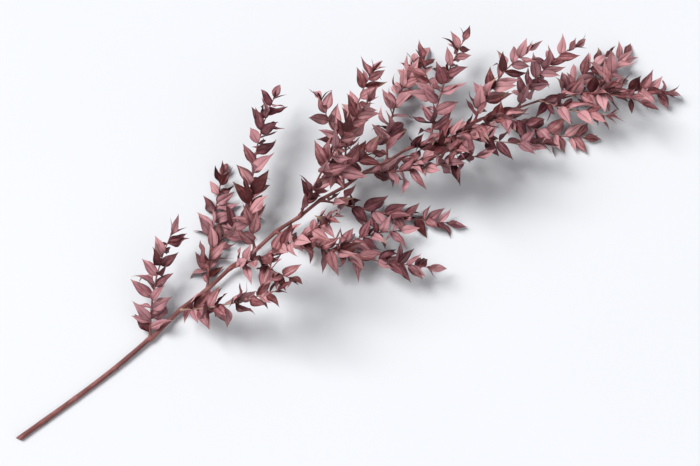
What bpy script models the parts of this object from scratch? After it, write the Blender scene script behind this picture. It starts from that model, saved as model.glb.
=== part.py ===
"""A dried, dyed ruscus stem, cut and laid down on a table. Blender 4.5, metres, +Z up.

One woody main stem runs along +X, from its cut end to its leafy tip. Leafy side shoots leave it by turns to
either side. Each shoot is one object: a tapering twig, its fork where it has one, and its leaves, fused.
The table is the plane z = 0, and the origin is the middle of the footprint on it.
"""

import bisect
import math
import random
from dataclasses import dataclass, field

import bmesh
import bpy
from mathutils import Matrix, Vector
from mathutils.bvhtree import BVHTree

UP = Vector((0.0, 0.0, 1.0))

# Main stem: the line of its pith, from the cut end to the tip, before it is laid on the table
MAIN_LINE = (
    (0.000, 0.000, 0.0000),
    (0.110, 0.006, 0.0006),
    (0.235, 0.022, 0.0056),
    (0.365, 0.030, 0.0150),
    (0.490, 0.022, 0.0190),
    (0.600, -0.004, 0.0180),
    (0.685, -0.042, 0.0130),
    (0.730, -0.074, 0.0090),
)
LINE_STEPS = 240
SHELL_STEPS = 160
BUTT_RADIUS = 0.0026
TIP_RADIUS = 0.0006
TAPER_POWER = 1.15
NODE_SWELLING = 0.16
NODE_REACH = 0.0045
ZIGZAG = 0.0011
FLAT_SPOT_DEPTH = 0.00025
BUTT_SLANT = math.radians(32)

# Side shoots. A profile gives shares of the largest size at shares of the length
SHOOTS = 21
FIRST_SHOOT = 0.158
LAST_SHOOT = 0.692
CROWDING = 0.86
LONGEST_SHOOT = 0.154
SHOOT_LENGTHS = ((0.0, 0.76), (0.22, 1.0), (0.60, 0.74), (1.0, 0.36))
SHOOT_STEPS = 8
FORK_STEPS = 4
SHOOT_RADIUS = 0.00125
SHOOT_TIP_RADIUS = 0.00045
THINNEST_FOOT = 0.72
SHOOT_CLEARANCE = 0.0062
LEAN_LEAST = math.radians(-6)
LEAN_MIDDLE = math.radians(24)
LEAN_SWING = math.radians(40)
LEAN_TURN = 2.4
LEAN_PLAY = math.radians(6)
LEAN_PLAY_MORE = math.radians(1)
LEAVING_ANGLE = math.radians(56)
SETTLING_ANGLE = math.radians(34)
ANGLE_PLAY = 0.20
SWAY = 0.34
DROOP = 0.16
LOOK_UP = 0.9
FORK_FROM_LENGTH = 0.108
FORK_SHARE = 0.46
FORK_ANGLE = math.radians(46)
FORK_THINNESS = 0.85
FORK_PLACE = (0.30, 0.40)

# Leaves
LEAF_LENGTH = 0.027
LEAF_SIZES = ((0.0, 0.94), (0.25, 1.0), (0.75, 0.80), (1.0, 0.72))
LEAF_SLIMNESS = 0.445
SIZE_PLAY = 0.12
LEAF_THICKNESS = 0.0006
LEAF_SPACING = 0.0098
BARE_SHARE = 0.17
TIP_LEAVES_FROM = 0.100
WIDEST_AT = 0.375
BASE_POWER = 0.9
SPREAD = math.radians(46)
SPREAD_PLAY = math.radians(9)
LOWEST_SIDE = math.radians(-30)
HIGHEST_SIDE = math.radians(55)
PITCH_PLAY = math.radians(18)
ROLL_PLAY = math.radians(36)
LOOSEST_PLAY = math.radians(56)
BEND_MIDDLE = math.radians(-14)
BEND_SPREAD = math.radians(22)
TWIST_SPREAD = math.radians(18)
FOLD_LEAST = math.radians(6)
FOLD_MOST = math.radians(26)
FOLD_OPENS = 0.5
HIGHEST_RAISE = math.radians(100)
TRIES = 60

# Seeds of the random draws
SHOOT_SEED = 100
TIP_SEED = 11
LEAF_SEED = 1000

# How finely the solids are cut into faces
LEAF_ROWS = (0.0, 0.2, 0.44, 1.0)
STATION_STEP = 0.0125
WELD = 0.000001
SHARP_ANGLE = math.radians(50)
TABLE_SIZE = (1.0, 1.0, 0.02)
SAW_SIZE = (0.014, 0.03, 0.03)

# Room kept between pieces that don't touch, and between a shoot's foot and the main stem
CLEAR_GAP = 0.0005
TWIG_GAP = 0.004
SEAT_GAP = 0.0003


class Path:
    """A line through space, read by the length along it."""

    def __init__(self, points):
        self.points = points
        self.reach = [0.0]
        for here, after in zip(points, points[1:]):
            self.reach.append(self.reach[-1] + (after - here).length)
        self.length = self.reach[-1]

    def at(self, s):
        """The point a length s along the line."""
        s = min(max(s, 0.0), self.length)
        k = min(max(bisect.bisect_right(self.reach, s), 1), len(self.points) - 1)
        share = (s - self.reach[k - 1]) / (self.reach[k] - self.reach[k - 1])
        return self.points[k - 1].lerp(self.points[k], share)

    def direction(self, s, half_step=0.002):
        """The unit direction of the line there, towards its end."""
        return (self.at(s + half_step) - self.at(s - half_step)).normalized()


def curve_through(corners, steps):
    """Points of a smooth curve through the corners, of the Catmull-Rom kind."""
    corners = [Vector(corner) for corner in corners]
    last = len(corners) - 1
    points = []
    for step in range(steps + 1):
        k = min(step * last // steps, last - 1)
        f = step * last / steps - k
        a, b = corners[max(k - 1, 0)], corners[k]
        c, d = corners[k + 1], corners[min(k + 2, last)]
        slope = (c - a) * f
        bend = (a * 2 - b * 5 + c * 4 - d) * f**2
        ease = (b * 3 - a - c * 3 + d) * f**3
        points.append((b * 2 + slope + bend + ease) / 2)
    return points


@dataclass
class Leaf:
    """One leaf-like blade: its root, its own axes and its form. Its upper face looks along across x along."""

    root: Vector
    along: Vector
    across: Vector
    length: float
    width: float
    bend: float
    twist: float
    fold: float

    def half_width(self, u):
        """Half the blade's width at the share u of its length, drawn out to a point at the tip."""
        tip_power = BASE_POWER * (1 - WIDEST_AT) / WIDEST_AT
        rise = (u / WIDEST_AT) ** BASE_POWER
        fall = (max(1 - u, 0.0) / (1 - WIDEST_AT)) ** tip_power
        return self.width / 2 * rise * fall

    def point(self, u, v, lift=0.0, widen=0.0):
        """The point at u from root to tip and v from -1 to 1 across, moved out by lift and widen."""
        facing = self.along.cross(self.across)
        turn = self.bend * u
        if abs(self.bend) > WELD:
            ahead = math.sin(turn) / self.bend
            rise = (1 - math.cos(turn)) / self.bend
        else:
            ahead, rise = u, 0.0
        centre = self.root + (self.along * ahead + facing * rise) * self.length
        normal = facing * math.cos(turn) - self.along * math.sin(turn)
        twist = self.twist * u
        side = self.across * math.cos(twist) + normal * math.sin(twist)
        normal = normal * math.cos(twist) - self.across * math.sin(twist)
        reach = (self.half_width(u) + widen) * v
        fold = self.fold * (1 - FOLD_OPENS * u)
        out = side * (reach * math.cos(fold)) + normal * (abs(reach) * math.sin(fold))
        return centre + out + normal * lift

    def lowest(self):
        """How low the blade's underside reaches."""
        half = LEAF_THICKNESS / 2
        return min(self.point(u, v).z for u in LEAF_ROWS for v in (-1, 0, 1)) - half

    def turned(self, axis, angle):
        """The same leaf, turned about an axis through its root."""
        turn = Matrix.Rotation(angle, 3, axis)
        return Leaf(
            self.root, turn @ self.along, turn @ self.across,
            self.length, self.width, self.bend, self.twist, self.fold,
        )


@dataclass
class Twig:
    """A leafy twig: its line, its radius at the foot, the way its leaves' faces look, and its leaves."""

    name: str
    line: Path
    foot_radius: float
    facing: Vector
    leaves: list = field(default_factory=list)
    forks: list = field(default_factory=list)

    def radius(self, s):
        """The twig's radius a length s from its foot."""
        share = s / self.line.length
        return self.foot_radius + (SHOOT_TIP_RADIUS - self.foot_radius) * share


class MainStem(Twig):
    """The main stem: a twig of its own, with leaves at its tip, that swells a little at each shoot."""

    def radius(self, s):
        """The main stem's radius a length s from its cut end."""
        return main_radius(s, self.line.length)


class Thicket:
    """Every twig and leaf placed so far, so that the next one can be kept clear of them."""

    def __init__(self):
        self.standing = []

    def add(self, owner, vertices, faces):
        """Puts a piece in, under its owner's name."""
        self.standing.append((owner, *box_of(vertices), BVHTree.FromPolygons(vertices, faces)))

    def blocks(self, vertices, faces, but=()):
        """Whether a piece would cut through anything that isn't one of the owners in but."""
        low, high = box_of(vertices)
        tree = None
        for owner, its_low, its_high, its_tree in self.standing:
            if owner in but or any(
                its_low[k] > high[k] or its_high[k] < low[k] for k in range(3)
            ):
                continue
            tree = tree or BVHTree.FromPolygons(vertices, faces)
            if tree.overlap(its_tree):
                return True
        return False


def box_of(vertices):
    """The lowest and the highest corner round some points."""
    low = [min(vertex[k] for vertex in vertices) for k in range(3)]
    high = [max(vertex[k] for vertex in vertices) for k in range(3)]
    return low, high


def blade_shell(leaf, half_thickness, widen=0.0):
    """A thin closed shell round a leaf's blade, as vertices and faces."""
    vertices = []
    for lift in (half_thickness, -half_thickness):
        for u in LEAF_ROWS:
            vertices += [leaf.point(u, v, lift, widen) for v in (-1, 0, 1)]
    below = 3 * len(LEAF_ROWS)
    faces = []
    for row in range(len(LEAF_ROWS) - 1):
        a = 3 * row
        for k in (a, a + 1):
            faces.append((k, k + 1, k + 4, k + 3))
            faces.append((k + below, k + 3 + below, k + 4 + below, k + 1 + below))
        for k in (a, a + 2):
            faces.append((k, k + 3, k + 3 + below, k + below))
    return vertices, faces


def tube_shell(line, radius, widen=0.0, steps=24, sides=6):
    """The wall of a round twig, as vertices and faces. radius gives the radius by length."""
    vertices, faces = [], []
    for step in range(steps + 1):
        s = line.length * step / steps
        ahead = line.direction(s)
        side = ahead.cross(UP).normalized()
        top = side.cross(ahead)
        for k in range(sides):
            angle = math.tau * k / sides
            out = side * math.cos(angle) + top * math.sin(angle)
            vertices.append(line.at(s) + out * (radius(s) + widen))
    for step in range(steps):
        for k in range(sides):
            a, b = step * sides + k, step * sides + (k + 1) % sides
            faces.append((a, b, b + sides, a + sides))
    return vertices, faces


def shoot_places():
    """How far along the main stem each side shoot leaves it: closer together towards the tip."""
    shares = (k / (SHOOTS - 1) for k in range(SHOOTS))
    return [FIRST_SHOOT + (LAST_SHOOT - FIRST_SHOOT) * share**CROWDING for share in shares]


def main_radius(s, length):
    """The main stem's radius a length s from its cut end, with a swelling at each shoot."""
    taper = BUTT_RADIUS + (TIP_RADIUS - BUTT_RADIUS) * (s / length) ** TAPER_POWER
    nearest = min(abs(s - place) for place in shoot_places())
    swelling = NODE_SWELLING * math.exp(-((nearest / NODE_REACH) ** 2))
    return taper * (1 + swelling)


def main_line():
    """The main stem's line, which steps aside at each shoot and touches the table near its cut end."""
    smooth = Path(curve_through(MAIN_LINE, LINE_STEPS))
    places = shoot_places()
    points = []
    for point, s in zip(smooth.points, smooth.reach):
        side = UP.cross(smooth.direction(s)).normalized()
        k = bisect.bisect_right(places, s)
        before = places[k - 1] if k else 0.0
        after = places[k] if k < SHOOTS else smooth.length
        share = (s - before) / (after - before)
        step = (1 - 2 * share) * (-1) ** k if 0 < k < SHOOTS else 0.0
        points.append(point + side * ZIGZAG * step)
    underside = min(
        point.z - main_radius(s, smooth.length) for point, s in zip(smooth.points, smooth.reach)
    )
    lift = UP * (-underside - FLAT_SPOT_DEPTH)
    return Path([point + lift for point in points])


def at_share(profile, share):
    """The value of a profile of (share, value) corners at a share."""
    for (before, low), (after, high) in zip(profile, profile[1:]):
        if share <= after:
            return low + (high - low) * (share - before) / (after - before)
    return profile[-1][1]


def grown_line(draw, start, forward, outward, length, leaving, settling, steps):
    """The line of a shoot that leaves at a wide angle, curves forward, droops and clears the table."""
    sideways = forward.cross(outward).normalized()
    sway = draw.uniform(-SWAY, SWAY)
    points = [start]
    step = length / steps
    for k in range(steps):
        share = (k + 0.5) / steps
        angle = leaving + (settling - leaving) * share
        heading = forward * math.cos(angle) + outward * math.sin(angle)
        heading += sideways * (sway * share) - UP * (DROOP * share**2)
        heading.normalize()
        sink = SHOOT_CLEARANCE - (points[-1].z + heading.z * step)
        if sink > 0:
            heading.z += sink / step
            heading.normalize()
        points.append(points[-1] + heading * step)
    return Path(points)


def side_shoot(number, main, thicket):
    """One side shoot with its fork, without leaves, turned about the main stem until it is clear."""
    draw = random.Random(SHOOT_SEED + number)
    place = shoot_places()[number]
    forward = main.line.direction(place)
    level = UP.cross(forward).normalized() * (-1) ** number
    rise = forward.cross(UP.cross(forward)).normalized()
    longest = LONGEST_SHOOT * at_share(SHOOT_LENGTHS, number / (SHOOTS - 1))
    length = longest * draw.uniform(1 - SIZE_PLAY, 1 + SIZE_PLAY / 2)
    foot_radius = SHOOT_RADIUS * (THINNEST_FOOT + (1 - THINNEST_FOOT) * length / LONGEST_SHOOT)
    usual_lean = max(LEAN_MIDDLE + LEAN_SWING * math.sin(LEAN_TURN * number), LEAN_LEAST)
    for attempt in range(TRIES):
        lean = usual_lean + draw.uniform(-1, 1) * (LEAN_PLAY + LEAN_PLAY_MORE * attempt)
        outward = level * math.cos(lean) + rise * math.sin(lean)
        leaving = LEAVING_ANGLE + draw.uniform(-ANGLE_PLAY, ANGLE_PLAY)
        settling = SETTLING_ANGLE + draw.uniform(-ANGLE_PLAY, ANGLE_PLAY)
        line = grown_line(
            draw, main.line.at(place), forward, outward, length, leaving, settling, SHOOT_STEPS
        )
        facing = (forward.cross(outward).normalized() * (-1) ** number + UP * LOOK_UP).normalized()
        shoot = Twig(f"side_shoot_{number + 1:02d}", line, foot_radius, facing)
        if length > FORK_FROM_LENGTH and number % 3 != 1:
            shoot.forks.append(fork_of(shoot, draw, (-1) ** (number // 2)))
        twigs = [shoot, *shoot.forks]
        shells = [tube_shell(twig.line, twig.radius, TWIG_GAP) for twig in twigs]
        if not any(thicket.blocks(*shell, but=(main.name,)) for shell in shells):
            break
    for twig in twigs:
        thicket.add(twig.name, *tube_shell(twig.line, twig.radius))
    return shoot


def fork_of(shoot, draw, side):
    """A smaller twig that leaves a side shoot in the plane of its leaves."""
    place = shoot.line.length * draw.uniform(*FORK_PLACE)
    forward = shoot.line.direction(place)
    outward = shoot.facing.cross(forward).normalized() * side
    length = shoot.line.length * FORK_SHARE
    line = grown_line(
        draw, shoot.line.at(place), forward, outward, length, FORK_ANGLE, FORK_ANGLE / 2, FORK_STEPS
    )
    return Twig(shoot.name + "_fork", line, shoot.radius(place) * FORK_THINNESS, shoot.facing)


def off_the_table(leaf):
    """The leaf raised about its root until its lowest point only touches the table."""
    if leaf.lowest() >= 0:
        return leaf
    axis = leaf.along.cross(UP).normalized()
    low, high = 0.0, HIGHEST_RAISE
    for _ in range(14):
        middle = (low + high) / 2
        if leaf.turned(axis, middle).lowest() < 0:
            low = middle
        else:
            high = middle
    return leaf.turned(axis, high)


def placed_leaf(draw, twig, place, side, size, thicket):
    """A leaf at a place on its twig, tried at looser and looser angles until it is clear, or None."""
    root = twig.line.at(place)
    ahead = twig.line.direction(place)
    climb = draw.uniform(LOWEST_SIDE, HIGHEST_SIDE)
    sideways = twig.facing.cross(ahead).normalized() * math.cos(climb)
    sideways += twig.facing * (math.sin(climb) * side)
    length = LEAF_LENGTH * size * draw.uniform(1 - SIZE_PLAY, 1 + SIZE_PLAY)
    width = length * LEAF_SLIMNESS * draw.uniform(1 - SIZE_PLAY, 1 + SIZE_PLAY)
    bend = draw.gauss(BEND_MIDDLE, BEND_SPREAD)
    twist = draw.gauss(0, TWIST_SPREAD)
    fold = draw.uniform(FOLD_LEAST, FOLD_MOST)
    spread = (SPREAD + draw.uniform(-SPREAD_PLAY, SPREAD_PLAY)) * side
    for attempt in range(TRIES):
        loose = LOOSEST_PLAY * attempt / TRIES
        turn = spread + draw.uniform(-1, 1) * loose
        pitch = draw.uniform(-1, 1) * (PITCH_PLAY + loose)
        roll = draw.uniform(-1, 1) * (ROLL_PLAY + loose)
        along = (ahead * math.cos(turn) + sideways * math.sin(turn)).normalized()
        across = twig.facing.cross(along).normalized()
        leaf = Leaf(root, along, across, length, width, bend, twist, fold)
        leaf = off_the_table(leaf.turned(across, -pitch).turned(along, roll))
        shell = blade_shell(leaf, LEAF_THICKNESS + CLEAR_GAP, CLEAR_GAP)
        if leaf.lowest() >= -WELD and not thicket.blocks(*shell, but=(twig.name,)):
            return leaf
    return None


def leaf_places(line, first):
    """The places of a twig's leaves from the length first on, with the side of each: 0 at the tip."""
    last = line.length - SHOOT_TIP_RADIUS
    count = max(int((last - first) / LEAF_SPACING), 2)
    step = (last - first) / count
    return [(first + step * k, (-1) ** k) for k in range(count)] + [(last, 0)]


def put_leaves(draw, twig, first, thicket):
    """Gives a twig its leaves, which get smaller towards its tip."""
    for place, side in leaf_places(twig.line, first):
        size = at_share(LEAF_SIZES, (place - first) / (twig.line.length - first))
        leaf = placed_leaf(draw, twig, place, side, size, thicket)
        if leaf:
            twig.leaves.append(leaf)
            thicket.add(None, *blade_shell(leaf, 0.0))


def grown_plant():
    """The whole plant: the main stem and its side shoots, each with its leaves."""
    thicket = Thicket()
    main = MainStem("main_stem", main_line(), BUTT_RADIUS, UP)
    thicket.add(main.name, *tube_shell(main.line, main.radius, steps=SHELL_STEPS))
    shoots = [side_shoot(number, main, thicket) for number in range(SHOOTS)]
    put_leaves(random.Random(TIP_SEED), main, main.line.length - TIP_LEAVES_FROM, thicket)
    for number, shoot in enumerate(shoots):
        for k, twig in enumerate([shoot, *shoot.forks]):
            draw = random.Random(LEAF_SEED + 10 * number + k)
            put_leaves(draw, twig, twig.line.length * BARE_SHARE, thicket)
    return main, shoots


def footprint_centre(main, shoots):
    """The middle, in x and y, of the box round every twig and leaf."""
    vertices = tube_shell(main.line, main.radius, steps=SHELL_STEPS)[0]
    for shoot in [main, *shoots]:
        for twig in [shoot, *shoot.forks]:
            for leaf in twig.leaves:
                vertices += blade_shell(leaf, LEAF_THICKNESS / 2)[0]
    low, high = box_of(vertices)
    return Vector(((low[0] + high[0]) / 2, (low[1] + high[1]) / 2, 0.0))


def material(name, colour, roughness):
    """A plain Principled finish."""
    made = bpy.data.materials.new(name)
    made.use_nodes = True
    shader = made.node_tree.nodes["Principled BSDF"]
    shader.inputs["Base Color"].default_value = (*colour, 1.0)
    shader.inputs["Roughness"].default_value = roughness
    shader.inputs["Metallic"].default_value = 0.0
    return made


def new_object(name, data, collection):
    """An object in a collection."""
    made = bpy.data.objects.new(name, data)
    collection.objects.link(made)
    return made


def as_mesh(source, name, collection):
    """The source as the viewport evaluates it, as a welded mesh object of its own. The source goes."""
    bpy.context.view_layer.update()
    evaluated = source.evaluated_get(bpy.context.evaluated_depsgraph_get())
    mesh = bpy.data.meshes.new_from_object(evaluated)
    mesh.transform(source.matrix_world)
    bpy.data.objects.remove(source)
    shape = bmesh.new()
    shape.from_mesh(mesh)
    bmesh.ops.remove_doubles(shape, verts=shape.verts, dist=WELD)
    shape.to_mesh(mesh)
    shape.free()
    mesh.shade_smooth()
    mesh.set_sharp_from_angle(angle=SHARP_ANGLE)
    return new_object(name, mesh, collection)


def tube(name, line, radius, stations, collection, side_resolution=1):
    """A round twig along a line, as a bevelled curve made a mesh."""
    curve = bpy.data.curves.new(name + "_line", "CURVE")
    curve.dimensions = "3D"
    curve.bevel_depth = 1.0
    curve.bevel_resolution = side_resolution
    curve.use_fill_caps = True
    spline = curve.splines.new("POLY")
    spline.points.add(len(stations) - 1)
    for point, s in zip(spline.points, stations):
        point.co = (*line.at(s), 1.0)
        point.radius = radius(s)
    return as_mesh(new_object(name + "_line", curve, collection), name, collection)


def blade(leaf, name, collection):
    """A leaf's blade: a grid bent to the leaf's form, and given its thickness."""
    shape = bmesh.new()
    bmesh.ops.create_grid(shape, x_segments=2, y_segments=len(LEAF_ROWS) - 1, size=1.0)
    rows = len(LEAF_ROWS) - 1
    for vertex in shape.verts:
        row = round((vertex.co.y + 1) / 2 * rows)
        vertex.co = leaf.point(LEAF_ROWS[row], round(vertex.co.x))
    bmesh.ops.remove_doubles(shape, verts=shape.verts, dist=WELD)
    bmesh.ops.triangulate(shape, faces=shape.faces)
    mesh = bpy.data.meshes.new(name)
    shape.to_mesh(mesh)
    shape.free()
    made = new_object(name, mesh, collection)
    solidify = made.modifiers.new("thickness", "SOLIDIFY")
    solidify.thickness = LEAF_THICKNESS
    solidify.offset = 0.0
    solidify.use_even_offset = True
    return made


def main_stations(length):
    """Lengths along the main stem that catch each swelling at its widest."""
    marks = [0.0, *shoot_places(), length]
    stations = [0.0]
    for before, after in zip(marks, marks[1:]):
        parts = max(round((after - before) / STATION_STEP), 2)
        stations += [before + (after - before) * k / parts for k in range(1, parts + 1)]
    return stations


def fused(body, twig, parts, hidden):
    """The body with a twig's leaves and its forks joined to it in one Boolean union."""
    helpers = bpy.data.collections.new(body.name + "_parts")
    hidden.children.link(helpers)
    for fork in twig.forks:
        tube(fork.name, fork.line, fork.radius, fork.line.reach, helpers)
    leaves = [leaf for each in [twig, *twig.forks] for leaf in each.leaves]
    for number, leaf in enumerate(leaves):
        blade(leaf, f"{body.name}_leaf_{number}", helpers)
    union = body.modifiers.new("leaves", "BOOLEAN")
    union.operation = "UNION"
    union.operand_type = "COLLECTION"
    union.collection = helpers
    union.solver = "EXACT"
    name = body.name
    body.name = name + "_bare"
    made = as_mesh(body, name, parts)
    for helper in list(helpers.objects):
        bpy.data.objects.remove(helper)
    bpy.data.collections.remove(helpers)
    return made


def cut(body, cutter):
    """Cuts the cutter away from the body."""
    difference = body.modifiers.new("cut_by_" + cutter.name, "BOOLEAN")
    difference.operation = "DIFFERENCE"
    difference.object = cutter
    difference.solver = "EXACT"


def block(name, centre, size, tilt, collection):
    """A box cutter."""
    shape = bmesh.new()
    bmesh.ops.create_cube(shape, size=1.0)
    place = Matrix.Translation(centre) @ tilt.to_4x4() @ Matrix.Diagonal((*size, 1.0))
    bmesh.ops.transform(shape, matrix=place, verts=shape.verts)
    mesh = bpy.data.meshes.new(name)
    shape.to_mesh(mesh)
    shape.free()
    return hide(new_object(name, mesh, collection))


def hide(cutter):
    """Keeps a cutter out of the render."""
    cutter.hide_render = True
    cutter.display_type = "WIRE"
    return cutter


def build():
    """Models the stem and stands its origin in the middle of its footprint."""
    for old in list(bpy.data.objects):
        bpy.data.objects.remove(old)
    parts = bpy.data.collections.new("ruscus_stem")
    cutters = bpy.data.collections.new("cutters")
    for collection in (parts, cutters):
        bpy.context.scene.collection.children.link(collection)
    bark = material("dyed_bark", (0.115, 0.040, 0.040), 0.62)
    dyed_leaf = material("dyed_leaf", (0.235, 0.095, 0.095), 0.55)

    main, shoots = grown_plant()
    stations = main_stations(main.line.length)
    stem = tube(main.name, main.line, main.radius, stations, parts, 2)
    stem = fused(stem, main, parts, cutters)
    clearance = tube(
        "stem_clearance", main.line, lambda s: main.radius(s) + SEAT_GAP, stations, cutters, 2
    )
    hide(clearance)
    table = block("table", -UP * TABLE_SIZE[2] / 2, TABLE_SIZE, Matrix.Identity(3), cutters)
    slant = Matrix.Rotation(BUTT_SLANT, 3, "Z")
    butt = main.line.at(BUTT_RADIUS * math.tan(BUTT_SLANT))
    saw = block("saw", butt - slant @ Vector((SAW_SIZE[0] / 2, 0, 0)), SAW_SIZE, slant, cutters)
    cut(stem, table)
    cut(stem, saw)
    stem.data.materials.append(bark)

    made = [stem]
    for shoot in shoots:
        twig = tube(shoot.name, shoot.line, shoot.radius, shoot.line.reach, parts)
        twig = fused(twig, shoot, parts, cutters)
        cut(twig, clearance)
        twig.data.materials.append(dyed_leaf)
        made.append(twig)

    stand = new_object("footprint_centre", None, parts)
    stand.location = -footprint_centre(main, shoots)
    for piece in [*made, clearance, table, saw]:
        piece.parent = stand


build()
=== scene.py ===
"""A dried, dyed ruscus stem lying on a pale table: its leaves, twigs and bark, finished.

Blender 4.5, metres, +Z up. The plant is laid out by the same rules and the same random draws as its solids,
so each fine piece stands where its solid stands. Geometry Nodes then grow the leaf blades and the bark.
"""

import sys
import bisect
import json
import logging
import math
import random
from dataclasses import dataclass, field, replace
from enum import Enum
from pathlib import Path as File
from typing import Iterable, Iterator

import bmesh
import bpy
from mathutils import Matrix, Vector
from mathutils.bvhtree import BVHTree


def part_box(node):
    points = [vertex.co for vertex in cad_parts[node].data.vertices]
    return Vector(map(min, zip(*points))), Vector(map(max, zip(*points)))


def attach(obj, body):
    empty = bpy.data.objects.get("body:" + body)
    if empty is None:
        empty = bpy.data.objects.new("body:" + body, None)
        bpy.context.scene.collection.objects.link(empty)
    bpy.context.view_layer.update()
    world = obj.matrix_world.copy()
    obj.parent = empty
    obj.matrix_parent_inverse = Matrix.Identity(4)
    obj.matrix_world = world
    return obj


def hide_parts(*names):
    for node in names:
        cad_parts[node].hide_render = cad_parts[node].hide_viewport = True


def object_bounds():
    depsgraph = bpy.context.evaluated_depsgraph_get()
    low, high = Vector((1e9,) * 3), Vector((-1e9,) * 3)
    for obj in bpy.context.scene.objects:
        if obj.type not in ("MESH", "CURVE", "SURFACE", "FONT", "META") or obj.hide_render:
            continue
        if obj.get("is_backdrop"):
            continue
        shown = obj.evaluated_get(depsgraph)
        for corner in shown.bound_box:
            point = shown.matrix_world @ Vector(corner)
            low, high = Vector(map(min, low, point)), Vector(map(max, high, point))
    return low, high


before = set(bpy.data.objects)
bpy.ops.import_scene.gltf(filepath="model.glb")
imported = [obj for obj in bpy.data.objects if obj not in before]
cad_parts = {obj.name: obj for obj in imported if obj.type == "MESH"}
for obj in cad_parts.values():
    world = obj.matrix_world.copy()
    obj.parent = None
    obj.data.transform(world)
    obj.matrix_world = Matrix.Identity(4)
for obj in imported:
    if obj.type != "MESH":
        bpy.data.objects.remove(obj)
CAD_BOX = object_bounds()

LOG = logging.getLogger("ruscus_stem")
BODY = "root"
UP = Vector((0.0, 0.0, 1.0))
TINY = 0.000001

Profile = tuple[tuple[float, float], ...]
Colour = tuple[float, float, float]
Span = tuple[float, float]
Weights = tuple[float, ...]
Shell = tuple[list[Vector], list[tuple[int, ...]]]


class Slot(Enum):
    """The record's material slots."""

    BARK = "dyed_bark"
    LEAF = "dyed_leaf"


class Face(Enum):
    """The two faces of a leaf blade."""

    UPPER = 0.0
    UNDER = 1.0


class Line:
    """A line through space, read by the length along it."""

    def __init__(self, points: list[Vector]) -> None:
        self.points = points
        self.reach = [0.0]
        for here, after in zip(points, points[1:]):
            self.reach.append(self.reach[-1] + (after - here).length)
        self.length = self.reach[-1]

    def at(self, s: float) -> Vector:
        """The point a length s along the line.

        Args:
            s: Length from the start, in metres, held to the line's own length.

        Returns:
            The point there.
        """
        s = min(max(s, 0.0), self.length)
        k = min(max(bisect.bisect_right(self.reach, s), 1), len(self.points) - 1)
        share = (s - self.reach[k - 1]) / (self.reach[k] - self.reach[k - 1])
        return self.points[k - 1].lerp(self.points[k], share)

    def direction(self, s: float, half_step: float = 0.002) -> Vector:
        """The unit direction of the line a length s along it, towards its end."""
        return (self.at(s + half_step) - self.at(s - half_step)).normalized()


def curve_through(corners: Iterable, steps: int) -> list[Vector]:
    """Points of a smooth curve through the corners, of the Catmull-Rom kind.

    Args:
        corners: The points that the curve passes through.
        steps: How many equal steps the curve is cut into.

    Returns:
        One point more than there are steps.
    """
    corners = [Vector(corner) for corner in corners]
    last = len(corners) - 1
    points = []
    for step in range(steps + 1):
        k = min(step * last // steps, last - 1)
        f = step * last / steps - k
        a, b = corners[max(k - 1, 0)], corners[k]
        c, d = corners[k + 1], corners[min(k + 2, last)]
        slope = (c - a) * f
        bend = (a * 2 - b * 5 + c * 4 - d) * f**2
        ease = (b * 3 - a - c * 3 + d) * f**3
        points.append((b * 2 + slope + bend + ease) / 2)
    return points


def at_share(profile: Profile, share: float) -> float:
    """The value of a profile of (share, value) corners at a share."""
    for (before, low), (after, high) in zip(profile, profile[1:]):
        if share <= after:
            return low + (high - low) * (share - before) / (after - before)
    return profile[-1][1]


def box_of(points: Iterable[Vector]) -> tuple[list[float], list[float]]:
    """The lowest and the highest corner round some points."""
    low = [min(point[k] for point in points) for k in range(3)]
    high = [max(point[k] for point in points) for k in range(3)]
    return low, high


@dataclass(frozen=True)
class StemHabit:
    """The main stem's sizes: its pith line from cut end to tip, its taper, its swellings and its cut."""

    corners: tuple[tuple[float, float, float], ...] = (
        (0.000, 0.000, 0.0000),
        (0.110, 0.006, 0.0006),
        (0.235, 0.022, 0.0056),
        (0.365, 0.030, 0.0150),
        (0.490, 0.022, 0.0190),
        (0.600, -0.004, 0.0180),
        (0.685, -0.042, 0.0130),
        (0.730, -0.074, 0.0090),
    )
    steps: int = 240
    shell_steps: int = 160
    butt_radius: float = 0.0026
    tip_radius: float = 0.0006
    taper_power: float = 1.15
    node_swelling: float = 0.16
    node_reach: float = 0.0045
    zigzag: float = 0.0011
    flat_spot_depth: float = 0.00025
    butt_slant: float = math.radians(32)
    tip_leaves_from: float = 0.100
    tip_seed: int = 11


@dataclass(frozen=True)
class ShootHabit:
    """How the side shoots leave the main stem, lean, curve and fork. Profiles run over the stem's length.

    Of the shoots that are long enough to fork, one in each cycle doesn't.
    """

    count: int = 21
    first: float = 0.158
    last: float = 0.692
    crowding: float = 0.86
    longest: float = 0.154
    lengths: Profile = ((0.0, 0.76), (0.22, 1.0), (0.60, 0.74), (1.0, 0.36))
    length_play: float = 0.12
    steps: int = 8
    fork_steps: int = 4
    radius: float = 0.00125
    tip_radius: float = 0.00045
    thinnest_foot: float = 0.72
    clearance: float = 0.0062
    lean_least: float = math.radians(-6)
    lean_middle: float = math.radians(24)
    lean_swing: float = math.radians(40)
    lean_turn: float = 2.4
    lean_play: float = math.radians(6)
    lean_play_more: float = math.radians(1)
    leaving: float = math.radians(56)
    settling: float = math.radians(34)
    angle_play: float = 0.20
    sway: float = 0.34
    droop: float = 0.16
    look_up: float = 0.9
    fork_from_length: float = 0.108
    fork_cycle: int = 3
    fork_share: float = 0.46
    fork_angle: float = math.radians(46)
    fork_thinness: float = 0.85
    fork_place: tuple[float, float] = (0.30, 0.40)
    twig_gap: float = 0.004
    tries: int = 60
    seed: int = 100


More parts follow.
